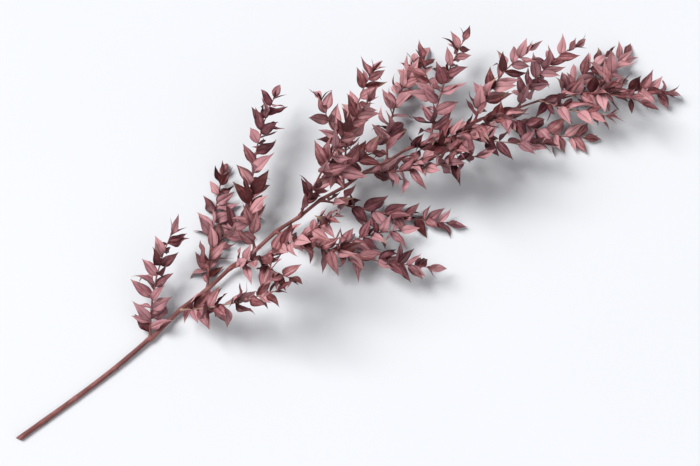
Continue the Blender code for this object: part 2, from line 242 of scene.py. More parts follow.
@dataclass(frozen=True)
class LeafHabit:
    """The leaves' sizes, their spacing along a twig and the play in how they are held."""

    length: float = 0.027
    sizes: Profile = ((0.0, 0.94), (0.25, 1.0), (0.75, 0.80), (1.0, 0.72))
    slimness: float = 0.445
    size_play: float = 0.12
    solid_thickness: float = 0.0006
    spacing: float = 0.0098
    fewest: int = 2
    bare_share: float = 0.17
    widest_at: float = 0.375
    base_power: float = 0.9
    spread: float = math.radians(46)
    spread_play: float = math.radians(9)
    lowest_side: float = math.radians(-30)
    highest_side: float = math.radians(55)
    pitch_play: float = math.radians(18)
    roll_play: float = math.radians(36)
    loosest_play: float = math.radians(56)
    bend_middle: float = math.radians(-14)
    bend_spread: float = math.radians(22)
    twist_spread: float = math.radians(18)
    fold_least: float = math.radians(6)
    fold_most: float = math.radians(26)
    fold_opens: float = 0.5
    highest_raise: float = math.radians(100)
    raise_steps: int = 14
    rows: tuple[float, ...] = (0.0, 0.2, 0.44, 1.0)
    clear_gap: float = 0.0005
    tries: int = 60
    seed: int = 1000


@dataclass(frozen=True)
class FillingHabit(LeafHabit):
    """The leaves that are too many for the solids: slimmer, held more loosely, and how they are spread out.

    Rounds are the odds of a leaf at each place, for one round of leaves after the other. Place play is in
    shares of the spacing, and foot shares are shares of the bare stretch at a shoot's foot.
    """

    length: float = 0.0255
    slimness: float = 0.41
    size_play: float = 0.20
    solid_thickness: float = 0.0003
    spread_play: float = math.radians(22)
    lowest_side: float = math.radians(-50)
    highest_side: float = math.radians(80)
    pitch_play: float = math.radians(26)
    roll_play: float = math.radians(60)
    bend_spread: float = math.radians(34)
    twist_spread: float = math.radians(38)
    fold_most: float = math.radians(44)
    clear_gap: float = 0.00015
    seed: int = 5000
    rounds: tuple[float, ...] = (1.0, 0.8)
    place_play: float = 0.34
    foot_shares: tuple[float, ...] = (0.34, 0.62, 0.88)


STEM = StemHabit()
SHOOTS = ShootHabit()
LEAVES = LeafHabit()
FILLING = FillingHabit()


@dataclass
class Leaf:
    """One leaf-like blade: its root, its own axes and its form. Its upper face looks along across x along."""

    root: Vector
    along: Vector
    across: Vector
    length: float
    width: float
    bend: float
    twist: float
    fold: float

    def half_width(self, u: float) -> float:
        """Half the blade's width at the share u of its length."""
        tip_power = LEAVES.base_power * (1 - LEAVES.widest_at) / LEAVES.widest_at
        rise = (u / LEAVES.widest_at) ** LEAVES.base_power
        fall = (max(1 - u, 0.0) / (1 - LEAVES.widest_at)) ** tip_power
        return self.width / 2 * rise * fall

    def frame_at(self, u: float) -> tuple[Vector, Vector, Vector]:
        """The midrib's place, the way across and the blade's normal, at the share u of the length."""
        facing = self.along.cross(self.across)
        turn = self.bend * u
        if abs(self.bend) > TINY:
            ahead = math.sin(turn) / self.bend
            rise = (1 - math.cos(turn)) / self.bend
        else:
            ahead, rise = u, 0.0
        centre = self.root + (self.along * ahead + facing * rise) * self.length
        normal = facing * math.cos(turn) - self.along * math.sin(turn)
        twist = self.twist * u
        side = self.across * math.cos(twist) + normal * math.sin(twist)
        return centre, side, normal * math.cos(twist) - self.across * math.sin(twist)

    def point(self, u: float, v: float, lift: float = 0.0, widen: float = 0.0) -> Vector:
        """A point of the blade.

        Args:
            u: Share of the length, from root to tip.
            v: Place across, from -1 to 1.
            lift: How far it is moved out along the blade's normal.
            widen: How much wider the blade is taken on either side.

        Returns:
            The point, in the plant's own frame.
        """
        centre, side, normal = self.frame_at(u)
        reach = (self.half_width(u) + widen) * v
        fold = self.fold * (1 - LEAVES.fold_opens * u)
        out = side * (reach * math.cos(fold)) + normal * (abs(reach) * math.sin(fold))
        return centre + out + normal * lift

    def lowest(self) -> float:
        """How low the solid blade's underside reaches."""
        half = LEAVES.solid_thickness / 2
        return min(self.point(u, v).z for u in LEAVES.rows for v in (-1, 0, 1)) - half

    def turned(self, axis: Vector, angle: float) -> "Leaf":
        """The same leaf, turned about an axis through its root."""
        turn = Matrix.Rotation(angle, 3, axis)
        return Leaf(
            self.root, turn @ self.along, turn @ self.across,
            self.length, self.width, self.bend, self.twist, self.fold,
        )

    def shell(self, half_thickness: float, widen: float = 0.0) -> Shell:
        """A thin closed shell round the blade, for the tests that keep leaves clear of each other.

        Args:
            half_thickness: How far the shell stands off on either side.
            widen: How much wider than the blade it is on either side.

        Returns:
            The shell's vertices and faces.
        """
        vertices: list[Vector] = []
        for lift in (half_thickness, -half_thickness):
            for u in LEAVES.rows:
                vertices += [self.point(u, v, lift, widen) for v in (-1, 0, 1)]
        below = 3 * len(LEAVES.rows)
        faces: list[tuple[int, ...]] = []
        for row in range(len(LEAVES.rows) - 1):
            a = 3 * row
            for k in (a, a + 1):
                faces.append((k, k + 1, k + 4, k + 3))
                faces.append((k + below, k + 3 + below, k + 4 + below, k + 1 + below))
            for k in (a, a + 2):
                faces.append((k, k + 3, k + 3 + below, k + below))
        return vertices, faces


@dataclass
class Twig:
    """A leafy twig: its line, its foot's radius, the way its leaves' faces look, and what grows on it."""

    name: str
    line: Line
    foot_radius: float
    facing: Vector
    leaves: list[Leaf] = field(default_factory=list)
    filling: list[Leaf] = field(default_factory=list)
    places: list[tuple[float, int]] = field(default_factory=list)
    forks: list["Twig"] = field(default_factory=list)

    def radius(self, s: float) -> float:
        """The solid twig's radius a length s from its foot."""
        share = s / self.line.length
        return self.foot_radius + (SHOOTS.tip_radius - self.foot_radius) * share

    def shell(self, widen: float = 0.0, steps: int = 24, sides: int = 6) -> Shell:
        """The wall of the twig, for the tests that keep twigs and leaves clear of each other.

        Args:
            widen: How far the wall stands off the twig.
            steps: How many rings of faces it has.
            sides: How many faces are in a ring.

        Returns:
            The wall's vertices and faces.
        """
        vertices, faces = [], []
        for step in range(steps + 1):
            s = self.line.length * step / steps
            ahead = self.line.direction(s)
            side = ahead.cross(UP).normalized()
            top = side.cross(ahead)
            for k in range(sides):
                angle = math.tau * k / sides
                out = side * math.cos(angle) + top * math.sin(angle)
                vertices.append(self.line.at(s) + out * (self.radius(s) + widen))
        for step in range(steps):
            for k in range(sides):
                a, b = step * sides + k, step * sides + (k + 1) % sides
                faces.append((a, b, b + sides, a + sides))
        return vertices, faces


class MainTwig(Twig):
    """The main stem as a twig of its own, with leaves at its tip, that swells a little at each shoot."""

    def radius(self, s: float) -> float:
        """The main stem's radius a length s from its cut end."""
        return main_radius(s, self.line.length)


class Thicket:
    """Every twig and leaf placed so far, so that the next one can be kept clear of them."""

    def __init__(self) -> None:
        self.standing: list[tuple] = []

    def add(self, owner: str | None, shell: Shell) -> None:
        """Puts a shell in, under its owner's name."""
        self.standing.append((owner, *box_of(shell[0]), BVHTree.FromPolygons(*shell)))

    def blocks(self, shell: Shell, but: tuple[str, ...] = ()) -> bool:
        """Whether a shell would cut through anything that stands.

        Args:
            shell: The vertices and faces to try.
            but: Owners whose shells don't count.

        Returns:
            True where it would.
        """
        low, high = box_of(shell[0])
        tree = None
        for owner, its_low, its_high, its_tree in self.standing:
            if owner in but or any(
                its_low[k] > high[k] or its_high[k] < low[k] for k in range(3)
            ):
                continue
            tree = tree or BVHTree.FromPolygons(*shell)
            if tree.overlap(its_tree):
                return True
        return False


def shoot_places() -> list[float]:
    """How far along the main stem each side shoot leaves it: closer together towards the tip."""
    shares = (k / (SHOOTS.count - 1) for k in range(SHOOTS.count))
    return [SHOOTS.first + (SHOOTS.last - SHOOTS.first) * share**SHOOTS.crowding for share in shares]


PLACES = shoot_places()


def main_radius(s: float, length: float) -> float:
    """The main stem's radius a length s from its cut end, with a swelling at each shoot."""
    taper = STEM.butt_radius + (STEM.tip_radius - STEM.butt_radius) * (s / length) ** STEM.taper_power
    nearest = min(abs(s - place) for place in PLACES)
    swelling = STEM.node_swelling * math.exp(-((nearest / STEM.node_reach) ** 2))
    return taper * (1 + swelling)


def main_line() -> Line:
    """The main stem's line, which steps aside at each shoot and touches the table near its cut end."""
    smooth = Line(curve_through(STEM.corners, STEM.steps))
    points = []
    for point, s in zip(smooth.points, smooth.reach):
        side = UP.cross(smooth.direction(s)).normalized()
        k = bisect.bisect_right(PLACES, s)
        before = PLACES[k - 1] if k else 0.0
        after = PLACES[k] if k < SHOOTS.count else smooth.length
        share = (s - before) / (after - before)
        step = (1 - 2 * share) * (-1) ** k if 0 < k < SHOOTS.count else 0.0
        points.append(point + side * STEM.zigzag * step)
    underside = min(
        point.z - main_radius(s, smooth.length) for point, s in zip(smooth.points, smooth.reach)
    )
    lift = UP * (-underside - STEM.flat_spot_depth)
    return Line([point + lift for point in points])


@dataclass
class Growth:
    """Lays the plant out: first the twigs, then the leaves, each kept clear of all that stands already."""

    thicket: Thicket = field(default_factory=Thicket)

    def grown_line(
        self, draw: random.Random, start: Vector, forward: Vector, outward: Vector,
        length: float, leaving: float, settling: float, steps: int,
    ) -> Line:
        """The line of a shoot that leaves at a wide angle, curves forward, droops and clears the table.

        Args:
            draw: The shoot's own random draws.
            start: Where it leaves.
            forward: The way that its parent runs there.
            outward: The way that it leaves to.
            length: Its length, in metres.
            leaving: Its angle to forward at its foot.
            settling: Its angle to forward at its tip.
            steps: How many straight steps it has.

        Returns:
            The line, as a plain chain.
        """
        sideways = forward.cross(outward).normalized()
        sway = draw.uniform(-SHOOTS.sway, SHOOTS.sway)
        points = [start]
        step = length / steps
        for k in range(steps):
            share = (k + 0.5) / steps
            angle = leaving + (settling - leaving) * share
            heading = forward * math.cos(angle) + outward * math.sin(angle)
            heading += sideways * (sway * share) - UP * (SHOOTS.droop * share**2)
            heading.normalize()
            sink = SHOOTS.clearance - (points[-1].z + heading.z * step)
            if sink > 0:
                heading.z += sink / step
                heading.normalize()
            points.append(points[-1] + heading * step)
        return Line(points)

    def side_shoot(self, number: int, main: MainTwig) -> Twig:
        """One side shoot with its fork, without leaves, turned about the main stem until it is clear.

        Args:
            number: Its number along the stem, from 0.
            main: The main stem.

        Returns:
            The shoot, with its fork if it has one.
        """
        draw = random.Random(SHOOTS.seed + number)
        place = PLACES[number]
        forward = main.line.direction(place)
        level = UP.cross(forward).normalized() * (-1) ** number
        rise = forward.cross(UP.cross(forward)).normalized()
        longest = SHOOTS.longest * at_share(SHOOTS.lengths, number / (SHOOTS.count - 1))
        length = longest * draw.uniform(1 - SHOOTS.length_play, 1 + SHOOTS.length_play / 2)
        thinnest = SHOOTS.thinnest_foot
        foot_radius = SHOOTS.radius * (thinnest + (1 - thinnest) * length / SHOOTS.longest)
        swing = SHOOTS.lean_swing * math.sin(SHOOTS.lean_turn * number)
        usual_lean = max(SHOOTS.lean_middle + swing, SHOOTS.lean_least)
        for attempt in range(SHOOTS.tries):
            play = SHOOTS.lean_play + SHOOTS.lean_play_more * attempt
            lean = usual_lean + draw.uniform(-1, 1) * play
            outward = level * math.cos(lean) + rise * math.sin(lean)
            leaving = SHOOTS.leaving + draw.uniform(-SHOOTS.angle_play, SHOOTS.angle_play)
            settling = SHOOTS.settling + draw.uniform(-SHOOTS.angle_play, SHOOTS.angle_play)
            line = self.grown_line(
                draw, main.line.at(place), forward, outward, length, leaving, settling, SHOOTS.steps
            )
            facing = forward.cross(outward).normalized() * (-1) ** number + UP * SHOOTS.look_up
            shoot = Twig(f"side_shoot_{number + 1:02d}", line, foot_radius, facing.normalized())
            if length > SHOOTS.fork_from_length and number % SHOOTS.fork_cycle != 1:
                shoot.forks.append(self.fork_of(shoot, draw, (-1) ** (number // 2)))
            twigs = [shoot, *shoot.forks]
            shells = [twig.shell(SHOOTS.twig_gap) for twig in twigs]
            if not any(self.thicket.blocks(shell, but=(main.name,)) for shell in shells):
                break
        for twig in twigs:
            self.thicket.add(twig.name, twig.shell())
        return shoot

    def fork_of(self, shoot: Twig, draw: random.Random, side: int) -> Twig:
        """A smaller twig that leaves a side shoot in the plane of its leaves.

        Args:
            shoot: What it grows from.
            draw: The shoot's random draws.
            side: 1 or -1, the side that it leaves to.

        Returns:
            The fork, without leaves.
        """
        place = shoot.line.length * draw.uniform(*SHOOTS.fork_place)
        forward = shoot.line.direction(place)
        outward = shoot.facing.cross(forward).normalized() * side
        length = shoot.line.length * SHOOTS.fork_share
        angle = SHOOTS.fork_angle
        line = self.grown_line(
            draw, shoot.line.at(place), forward, outward, length, angle, angle / 2, SHOOTS.fork_steps
        )
        foot_radius = shoot.radius(place) * SHOOTS.fork_thinness
        return Twig(shoot.name + "_fork", line, foot_radius, shoot.facing)

    def off_the_table(self, leaf: Leaf) -> Leaf:
        """The leaf raised about its root until its lowest point only touches the table.

        Args:
            leaf: The leaf as drawn.

        Returns:
            The leaf, the same one where it is clear of the table already.
        """
        if leaf.lowest() >= 0:
            return leaf
        axis = leaf.along.cross(UP).normalized()
        low, high = 0.0, LEAVES.highest_raise
        for _ in range(LEAVES.raise_steps):
            middle = (low + high) / 2
            if leaf.turned(axis, middle).lowest() < 0:
                low = middle
            else:
                high = middle
        return leaf.turned(axis, high)

    def placed_leaf(
        self, draw: random.Random, twig: Twig, place: float, side: int, size: float, habit: LeafHabit
    ) -> Leaf | None:
        """A leaf at a place on its twig, tried at looser and looser angles until it is clear.

        Args:
            draw: The twig's own random draws.
            twig: What it grows on.
            place: How far along the twig.
            side: 1 or -1, or 0 for the leaf at the tip.
            size: Its share of the usual length.
            habit: The sizes and the play of leaves of its kind.

        Returns:
            The leaf, or None where no angle is clear.
        """
        root = twig.line.at(place)
        ahead = twig.line.direction(place)
        climb = draw.uniform(habit.lowest_side, habit.highest_side)
        sideways = twig.facing.cross(ahead).normalized() * math.cos(climb)
        sideways += twig.facing * (math.sin(climb) * side)
        play = habit.size_play
        length = habit.length * size * draw.uniform(1 - play, 1 + play)
        width = length * habit.slimness * draw.uniform(1 - play, 1 + play)
        bend = draw.gauss(habit.bend_middle, habit.bend_spread)
        twist = draw.gauss(0, habit.twist_spread)
        fold = draw.uniform(habit.fold_least, habit.fold_most)
        spread = (habit.spread + draw.uniform(-habit.spread_play, habit.spread_play)) * side
        for attempt in range(habit.tries):
            loose = habit.loosest_play * attempt / habit.tries
            turn = spread + draw.uniform(-1, 1) * loose
            pitch = draw.uniform(-1, 1) * (habit.pitch_play + loose)
            roll = draw.uniform(-1, 1) * (habit.roll_play + loose)
            along = (ahead * math.cos(turn) + sideways * math.sin(turn)).normalized()
            across = twig.facing.cross(along).normalized()
            leaf = Leaf(root, along, across, length, width, bend, twist, fold)
            leaf = self.off_the_table(leaf.turned(across, -pitch).turned(along, roll))
            shell = leaf.shell(habit.solid_thickness + habit.clear_gap, habit.clear_gap)
            if leaf.lowest() >= -TINY and not self.thicket.blocks(shell, but=(twig.name,)):
                return leaf
        return None

    def put_leaves(self, draw: random.Random, twig: Twig, first: float) -> None:
        """Gives a twig its leaves, smaller towards its tip.

        Args:
            draw: The twig's random draws.
            twig: The twig.
            first: How far along it the leaves begin.
        """
        last = twig.line.length - SHOOTS.tip_radius
        count = max(int((last - first) / LEAVES.spacing), LEAVES.fewest)
        step = (last - first) / count
        places = [(first + step * k, (-1) ** k) for k in range(count)] + [(last, 0)]
        for place, side in places:
            size = at_share(LEAVES.sizes, (place - first) / (twig.line.length - first))
            leaf = self.placed_leaf(draw, twig, place, side, size, LEAVES)
            if leaf:
                twig.leaves.append(leaf)
                twig.places.append((place, side))
                self.thicket.add(None, leaf.shell(0.0))

    def fill_in(self, draw: random.Random, twig: Twig) -> None:
        """Gives a twig the leaves that are too many for its solid, nearly opposite those that the solid has.

        Args:
            draw: The twig's random draws for these leaves.
            twig: The twig, with its solid's leaves in place.
        """
        first, play = twig.places[0][0], FILLING.spacing * FILLING.place_play
        spots = [
            (place + draw.uniform(-play, play) * (1 + turn), -side if turn == 0 else side)
            for turn, odds in enumerate(FILLING.rounds)
            for place, side in twig.places[:-1] if draw.random() < odds
        ]
        if twig.name != "main_stem":
            spots += [(first * share, (-1) ** k) for k, share in enumerate(FILLING.foot_shares)]
        for place, side in spots:
            size = at_share(FILLING.sizes, max(place - first, 0.0) / (twig.line.length - first))
            leaf = self.placed_leaf(draw, twig, place, side, size, FILLING)
            if leaf:
                twig.filling.append(leaf)
                self.thicket.add(None, leaf.shell(0.0))

    def grow(self) -> tuple[MainTwig, list[Twig]]:
        """The whole plant.

        Returns:
            The main stem and its side shoots, each with its forks and leaves.
        """
        main = MainTwig("main_stem", main_line(), STEM.butt_radius, UP)
        self.thicket.add(main.name, main.shell(steps=STEM.shell_steps))
        shoots = [self.side_shoot(number, main) for number in range(SHOOTS.count)]
        self.put_leaves(random.Random(STEM.tip_seed), main, main.line.length - STEM.tip_leaves_from)
        for number, shoot in enumerate(shoots):
            for k, twig in enumerate([shoot, *shoot.forks]):
                draw = random.Random(LEAVES.seed + 10 * number + k)
                self.put_leaves(draw, twig, twig.line.length * LEAVES.bare_share)
        twigs = [twig for shoot in [main, *shoots] for twig in [shoot, *shoot.forks]]
        for number, twig in enumerate(twigs):
            self.fill_in(random.Random(FILLING.seed + number), twig)
        return main, shoots


def footprint_centre(main: MainTwig, shoots: list[Twig]) -> Vector:
    """The middle, in x and y, of the box round every solid twig and leaf.

    Args:
        main: The main stem.
        shoots: The side shoots.

    Returns:
        The point, on the table.
    """
    vertices = main.shell(steps=STEM.shell_steps)[0]
    for shoot in [main, *shoots]:
        for twig in [shoot, *shoot.forks]:
            for leaf in twig.leaves:
                vertices += leaf.shell(LEAVES.solid_thickness / 2)[0]
    low, high = box_of(vertices)
    return Vector(((low[0] + high[0]) / 2, (low[1] + high[1]) / 2, 0.0))


@dataclass(frozen=True)
class Noise:
    """One kind of smooth noise: how fine and how detailed it is, and how each axis is squeezed first."""

    scale: float
    detail: float = 2.0
    roughness: float = 0.5
    squeeze: tuple[float, float, float] | None = None


class Wire:
    """An output socket that can be reckoned with: each operator adds the node that does the sum."""

    def __init__(self, bench: "Bench", socket: bpy.types.NodeSocket) -> None:
        self.bench = bench
        self.socket = socket

    def __add__(self, other: "Term") -> "Wire":
        return self.bench.reckon("ADD", self, other)

    def __radd__(self, other: "Term") -> "Wire":
        return self.bench.reckon("ADD", other, self)

    def __sub__(self, other: "Term") -> "Wire":
        return self.bench.reckon("SUBTRACT", self, other)

    def __rsub__(self, other: "Term") -> "Wire":
        return self.bench.reckon("SUBTRACT", other, self)

    def __mul__(self, other: "Term") -> "Wire":
        return self.bench.reckon("MULTIPLY", self, other)

    def __rmul__(self, other: "Term") -> "Wire":
        return self.bench.reckon("MULTIPLY", other, self)

    def __truediv__(self, other: "Term") -> "Wire":
        return self.bench.reckon("DIVIDE", self, other)

    def __pow__(self, other: "Term") -> "Wire":
        return self.bench.reckon("POWER", self, other)


Term = Wire | Vector | float


class Bench:
    """A node tree on the bench: nodes are added, set and wired up here."""

    def __init__(self, tree: bpy.types.NodeTree) -> None:
        self.tree = tree

    @staticmethod
    def socket_of(sockets: Iterable, key: str | int) -> bpy.types.NodeSocket:
        """The socket at a number, or with an identifier or a name."""
        sockets = list(sockets)
        if isinstance(key, int):
            return sockets[key]
        named = [socket for socket in sockets if key in (socket.identifier, socket.name)]
        return next(socket for socket in named if socket.enabled)

    def node(self, kind: str, settings: dict | None = None, sockets: dict | None = None) -> bpy.types.Node:
        """Adds a node.

        Args:
            kind: The node's type.
            settings: Its own settings, set first.
            sockets: Values or wires by the input's number, name or identifier.

        Returns:
            The node.
        """
        node = self.tree.nodes.new(kind)
        for setting, value in (settings or {}).items():
            setattr(node, setting, value)
        for key, value in (sockets or {}).items():
            self.feed(self.socket_of(node.inputs, key), value)
        return node

    def feed(self, socket: bpy.types.NodeSocket, value: object) -> None:
        """Links a wire to an input, or sets the input's own value."""
        if isinstance(value, Wire):
            self.tree.links.new(value.socket, socket)
        else:
            socket.default_value = value

    def wire(
        self, kind: str, settings: dict | None = None, sockets: dict | None = None, output: str | int = 0
    ) -> Wire:
        """Adds a node and gives the wire from one of its outputs."""
        return Wire(self, self.socket_of(self.node(kind, settings, sockets).outputs, output))

    def reckon(self, operation: str, *terms: Term) -> Wire:
        """Adds the Math node of a sum, or its Vector Math node where a term is a vector.

        Args:
            operation: What Blender calls the sum.
            terms: Wires, vectors or numbers.

        Returns:
            The wire that carries the result.
        """
        vectors = [
            isinstance(term, Vector) or isinstance(term, Wire) and term.socket.type == "VECTOR"
            for term in terms
        ]
        if not any(vectors):
            return self.wire("ShaderNodeMath", {"operation": operation}, dict(enumerate(terms)))
        if operation == "MULTIPLY" and not all(vectors):
            vector, scale = terms if vectors[0] else reversed(terms)
            sockets = {0: vector, "Scale": scale}
            return self.wire("ShaderNodeVectorMath", {"operation": "SCALE"}, sockets)
        return self.wire("ShaderNodeVectorMath", {"operation": operation}, dict(enumerate(terms)))

    def sine(self, angle: Term) -> Wire:
        """The sine of an angle."""
        return self.reckon("SINE", angle)

    def cosine(self, angle: Term) -> Wire:
        """The cosine of an angle."""
        return self.reckon("COSINE", angle)

    def size_of(self, value: Term) -> Wire:
        """A number without its sign."""
        return self.reckon("ABSOLUTE", value)

    def most(self, one: Term, other: Term) -> Wire:
        """The larger of two numbers."""
        return self.reckon("MAXIMUM", one, other)

    def least(self, one: Term, other: Term) -> Wire:
        """The smaller of two numbers."""
        return self.reckon("MINIMUM", one, other)

    def smooth(self, value: Term, low: float, high: float) -> Wire:
        """A soft step from 0 to 1 as the value goes from low to high."""
        sockets = {"Value": value, "From Min": low, "From Max": high}
        return self.wire("ShaderNodeMapRange", {"interpolation_type": "SMOOTHSTEP"}, sockets)

    def noise(self, place: Wire, kind: Noise) -> Wire:
        """Smooth noise round one half, read at a place."""
        if kind.squeeze:
            place = self.reckon("MULTIPLY", place, Vector(kind.squeeze))
        sockets = {"Vector": place, "Scale": kind.scale, "Detail": kind.detail, "Roughness": kind.roughness}
        return self.wire("ShaderNodeTexNoise", None, sockets)

    def weighed(self, parts: Iterable[Wire], weights: Weights, base: float | None = None) -> Wire:
        """The sum of some parts, each by its own weight.

        Args:
            parts: The wires that are added up.
            weights: One number for each.
            base: What they are added to, if anything.

        Returns:
            The wire that carries the sum.
        """
        terms = [part * weight for part, weight in zip(parts, weights)]
        total = terms.pop(0) if base is None else base
        for term in terms:
            total = total + term
        return total


class GrowthTree(Bench):
    """A Geometry Nodes tree that grows a mesh round an object's own points."""

    def __init__(self, name: str) -> None:
        tree = bpy.data.node_groups.new(name, "GeometryNodeTree")
        tree.is_modifier = True
        super().__init__(tree)
        self.entry = tree.nodes.new("NodeGroupInput")
        self.source = self.size("Geometry", "NodeSocketGeometry")
        tree.interface.new_socket("Geometry", in_out="OUTPUT", socket_type="NodeSocketGeometry")

    def size(self, name: str, kind: str = "NodeSocketFloat", value: float | int | None = None) -> Wire:
        """Adds a named input to the tree.

        Args:
            name: The input's name.
            kind: Its socket type.
            value: Its usual value, if it has one.

        Returns:
            The wire that carries it.
        """
        item = self.tree.interface.new_socket(name, in_out="INPUT", socket_type=kind)
        if value is not None:
            item.default_value = value
        return Wire(self, self.entry.outputs[name])

    def read(self, name: str, kind: str = "FLOAT") -> Wire:
        """The named attribute of the points."""
        return self.wire("GeometryNodeInputNamedAttribute", {"data_type": kind}, {"Name": name})

    def keep(
        self, geometry: Wire, name: str, value: Term, kind: str = "FLOAT", domain: str = "POINT"
    ) -> Wire:
        """Stores a value on the geometry under a name."""
        settings = {"data_type": kind, "domain": domain}
        sockets = {"Geometry": geometry, "Name": name, "Value": value}
        return self.wire("GeometryNodeStoreNamedAttribute", settings, sockets)

    def vector(self, x: Term, y: Term, z: Term) -> Wire:
        """A vector from its three parts."""
        return self.wire("ShaderNodeCombineXYZ", None, {"X": x, "Y": y, "Z": z})

    def part(self, vector: Wire, axis: str) -> Wire:
        """One part of a vector."""
        return self.wire("ShaderNodeSeparateXYZ", None, {"Vector": vector}, axis)

    def place(self) -> Wire:
        """The points' own positions."""
        return self.wire("GeometryNodeInputPosition")

    def moved_to(self, geometry: Wire, position: Wire) -> Wire:
        """The geometry with its points moved."""
        return self.wire("GeometryNodeSetPosition", None, {"Geometry": geometry, "Position": position})

    def shaded(self, geometry: Wire, sharp_angle: float, crease: Term = 0.0) -> Wire:
        """The geometry shaded smooth.

        Args:
            geometry: The geometry.
            sharp_angle: Edges are sharp where two faces meet at more than this angle.
            crease: 1 on other edges that are sharp.

        Returns:
            The shaded geometry.
        """
        smooth = self.wire(
            "GeometryNodeSetShadeSmooth", {"domain": "FACE"}, {"Geometry": geometry, "Shade Smooth": True}
        )
        angle = self.wire("GeometryNodeInputMeshEdgeAngle", None, None, "Unsigned Angle")
        sockets = {"A": angle, "B": sharp_angle}
        sharp = self.wire("FunctionNodeCompare", {"operation": "GREATER_THAN"}, sockets)
        sockets = {"Geometry": smooth, "Selection": self.most(sharp, crease), "Shade Smooth": False}
        return self.wire("GeometryNodeSetShadeSmooth", {"domain": "EDGE"}, sockets)

    def finish(self, geometry: Wire, finish: Wire) -> None:
        """Ends the tree: instances made real, and the finish set."""
        real = self.wire("GeometryNodeRealizeInstances", None, {"Geometry": geometry})
        dressed = self.wire("GeometryNodeSetMaterial", None, {"Geometry": real, "Material": finish})
        self.node("NodeGroupOutput", None, {"Geometry": dressed})

    def grown(self, source: bpy.types.Object, sizes: dict[str, object], kept: set[str]) -> bpy.types.Mesh:
        """The plain mesh that the tree grows from an object, which then goes.

        Args:
            source: The object whose points the tree reads.
            sizes: Values of the tree's named inputs.
            kept: Names of the attributes that the finish reads. The others are dropped.

        Returns:
            A mesh with its material.
        """
        modifier = source.modifiers.new("growth", "NODES")
        modifier.node_group = self.tree
        for item in self.tree.interface.items_tree:
            if item.item_type == "SOCKET" and item.in_out == "INPUT" and item.name in sizes:
                modifier[item.identifier] = sizes[item.name]
        bpy.context.view_layer.update()
        graph = bpy.context.evaluated_depsgraph_get()
        mesh = bpy.data.meshes.new_from_object(
            source.evaluated_get(graph), preserve_all_data_layers=True, depsgraph=graph
        )
        source.modifiers.remove(modifier)
        bpy.data.objects.remove(source)
        spare = [
            attribute.name for attribute in mesh.attributes
            if not attribute.is_internal and not attribute.is_required
            and attribute.name not in kept | {"sharp_edge", "sharp_face", "material_index"}
        ]
        for name in spare:
            mesh.attributes.remove(mesh.attributes[name])
        return mesh


def point_object(
    name: str, points: list[Vector], edges: list[tuple[int, int]], values: dict[str, list]
) -> bpy.types.Object:
    """An object of loose or linked points that carry named values.

    Args:
        name: The object's name.
        points: Where the points are.
        edges: Pairs of points that are linked.
        values: Numbers or vectors by name, one for each point.

    Returns:
        The object, linked to the scene.
    """
    mesh = bpy.data.meshes.new(name)
    mesh.from_pydata(points, edges, [])
    for key, column in values.items():
        if isinstance(column[0], Vector):
            flat = [part for vector in column for part in vector]
            mesh.attributes.new(key, "FLOAT_VECTOR", "POINT").data.foreach_set("vector", flat)
        else:
            mesh.attributes.new(key, "FLOAT", "POINT").data.foreach_set("value", column)
    made = bpy.data.objects.new(name, mesh)
    bpy.context.scene.collection.objects.link(made)
    return made


@dataclass(frozen=True)
class BladeGrid:
    """How finely one kind of blade is cut into faces, and how thick it is."""

    rows: int
    columns: int
    crowding: float
    thickness: float

    def sizes(self) -> dict[str, float | int]:
        """The leaf tree's inputs for it."""
        return {
            "Rows": self.rows, "Columns": self.columns, "Crowding": self.crowding, "Thickness": self.thickness
        }


@dataclass(frozen=True)
class BladeForm:
    """The form that finished blades share: their outline, how they ripple, where they curl and thin out.

    Whether blades cross is tested from the row of the grid on that tested_from gives, just past the root.
    """

    base_power: float = 0.78
    tip_power: float = 1.5
    row_power: float = 1.25
    ripple: float = 7.0
    cross_ripple: float = 9.0
    cross_phase: float = 2.0
    cross_share: float = 0.7
    curl_from: float = 0.5
    root_taper: float = 10.0
    tip_taper: float = 5.0
    straightest: float = 0.001
    floor_gap: float = 0.00012
    tested_from: int = 2

    def widest_at(self) -> float:
        """The share of the length where a blade is widest."""
        return self.base_power / (self.base_power + self.tip_power)


LEAF_GRID = BladeGrid(rows=10, columns=4, crowding=1.23, thickness=0.00036)
SCALE_GRID = BladeGrid(rows=4, columns=2, crowding=1.0, thickness=0.0002)
FORM = BladeForm()


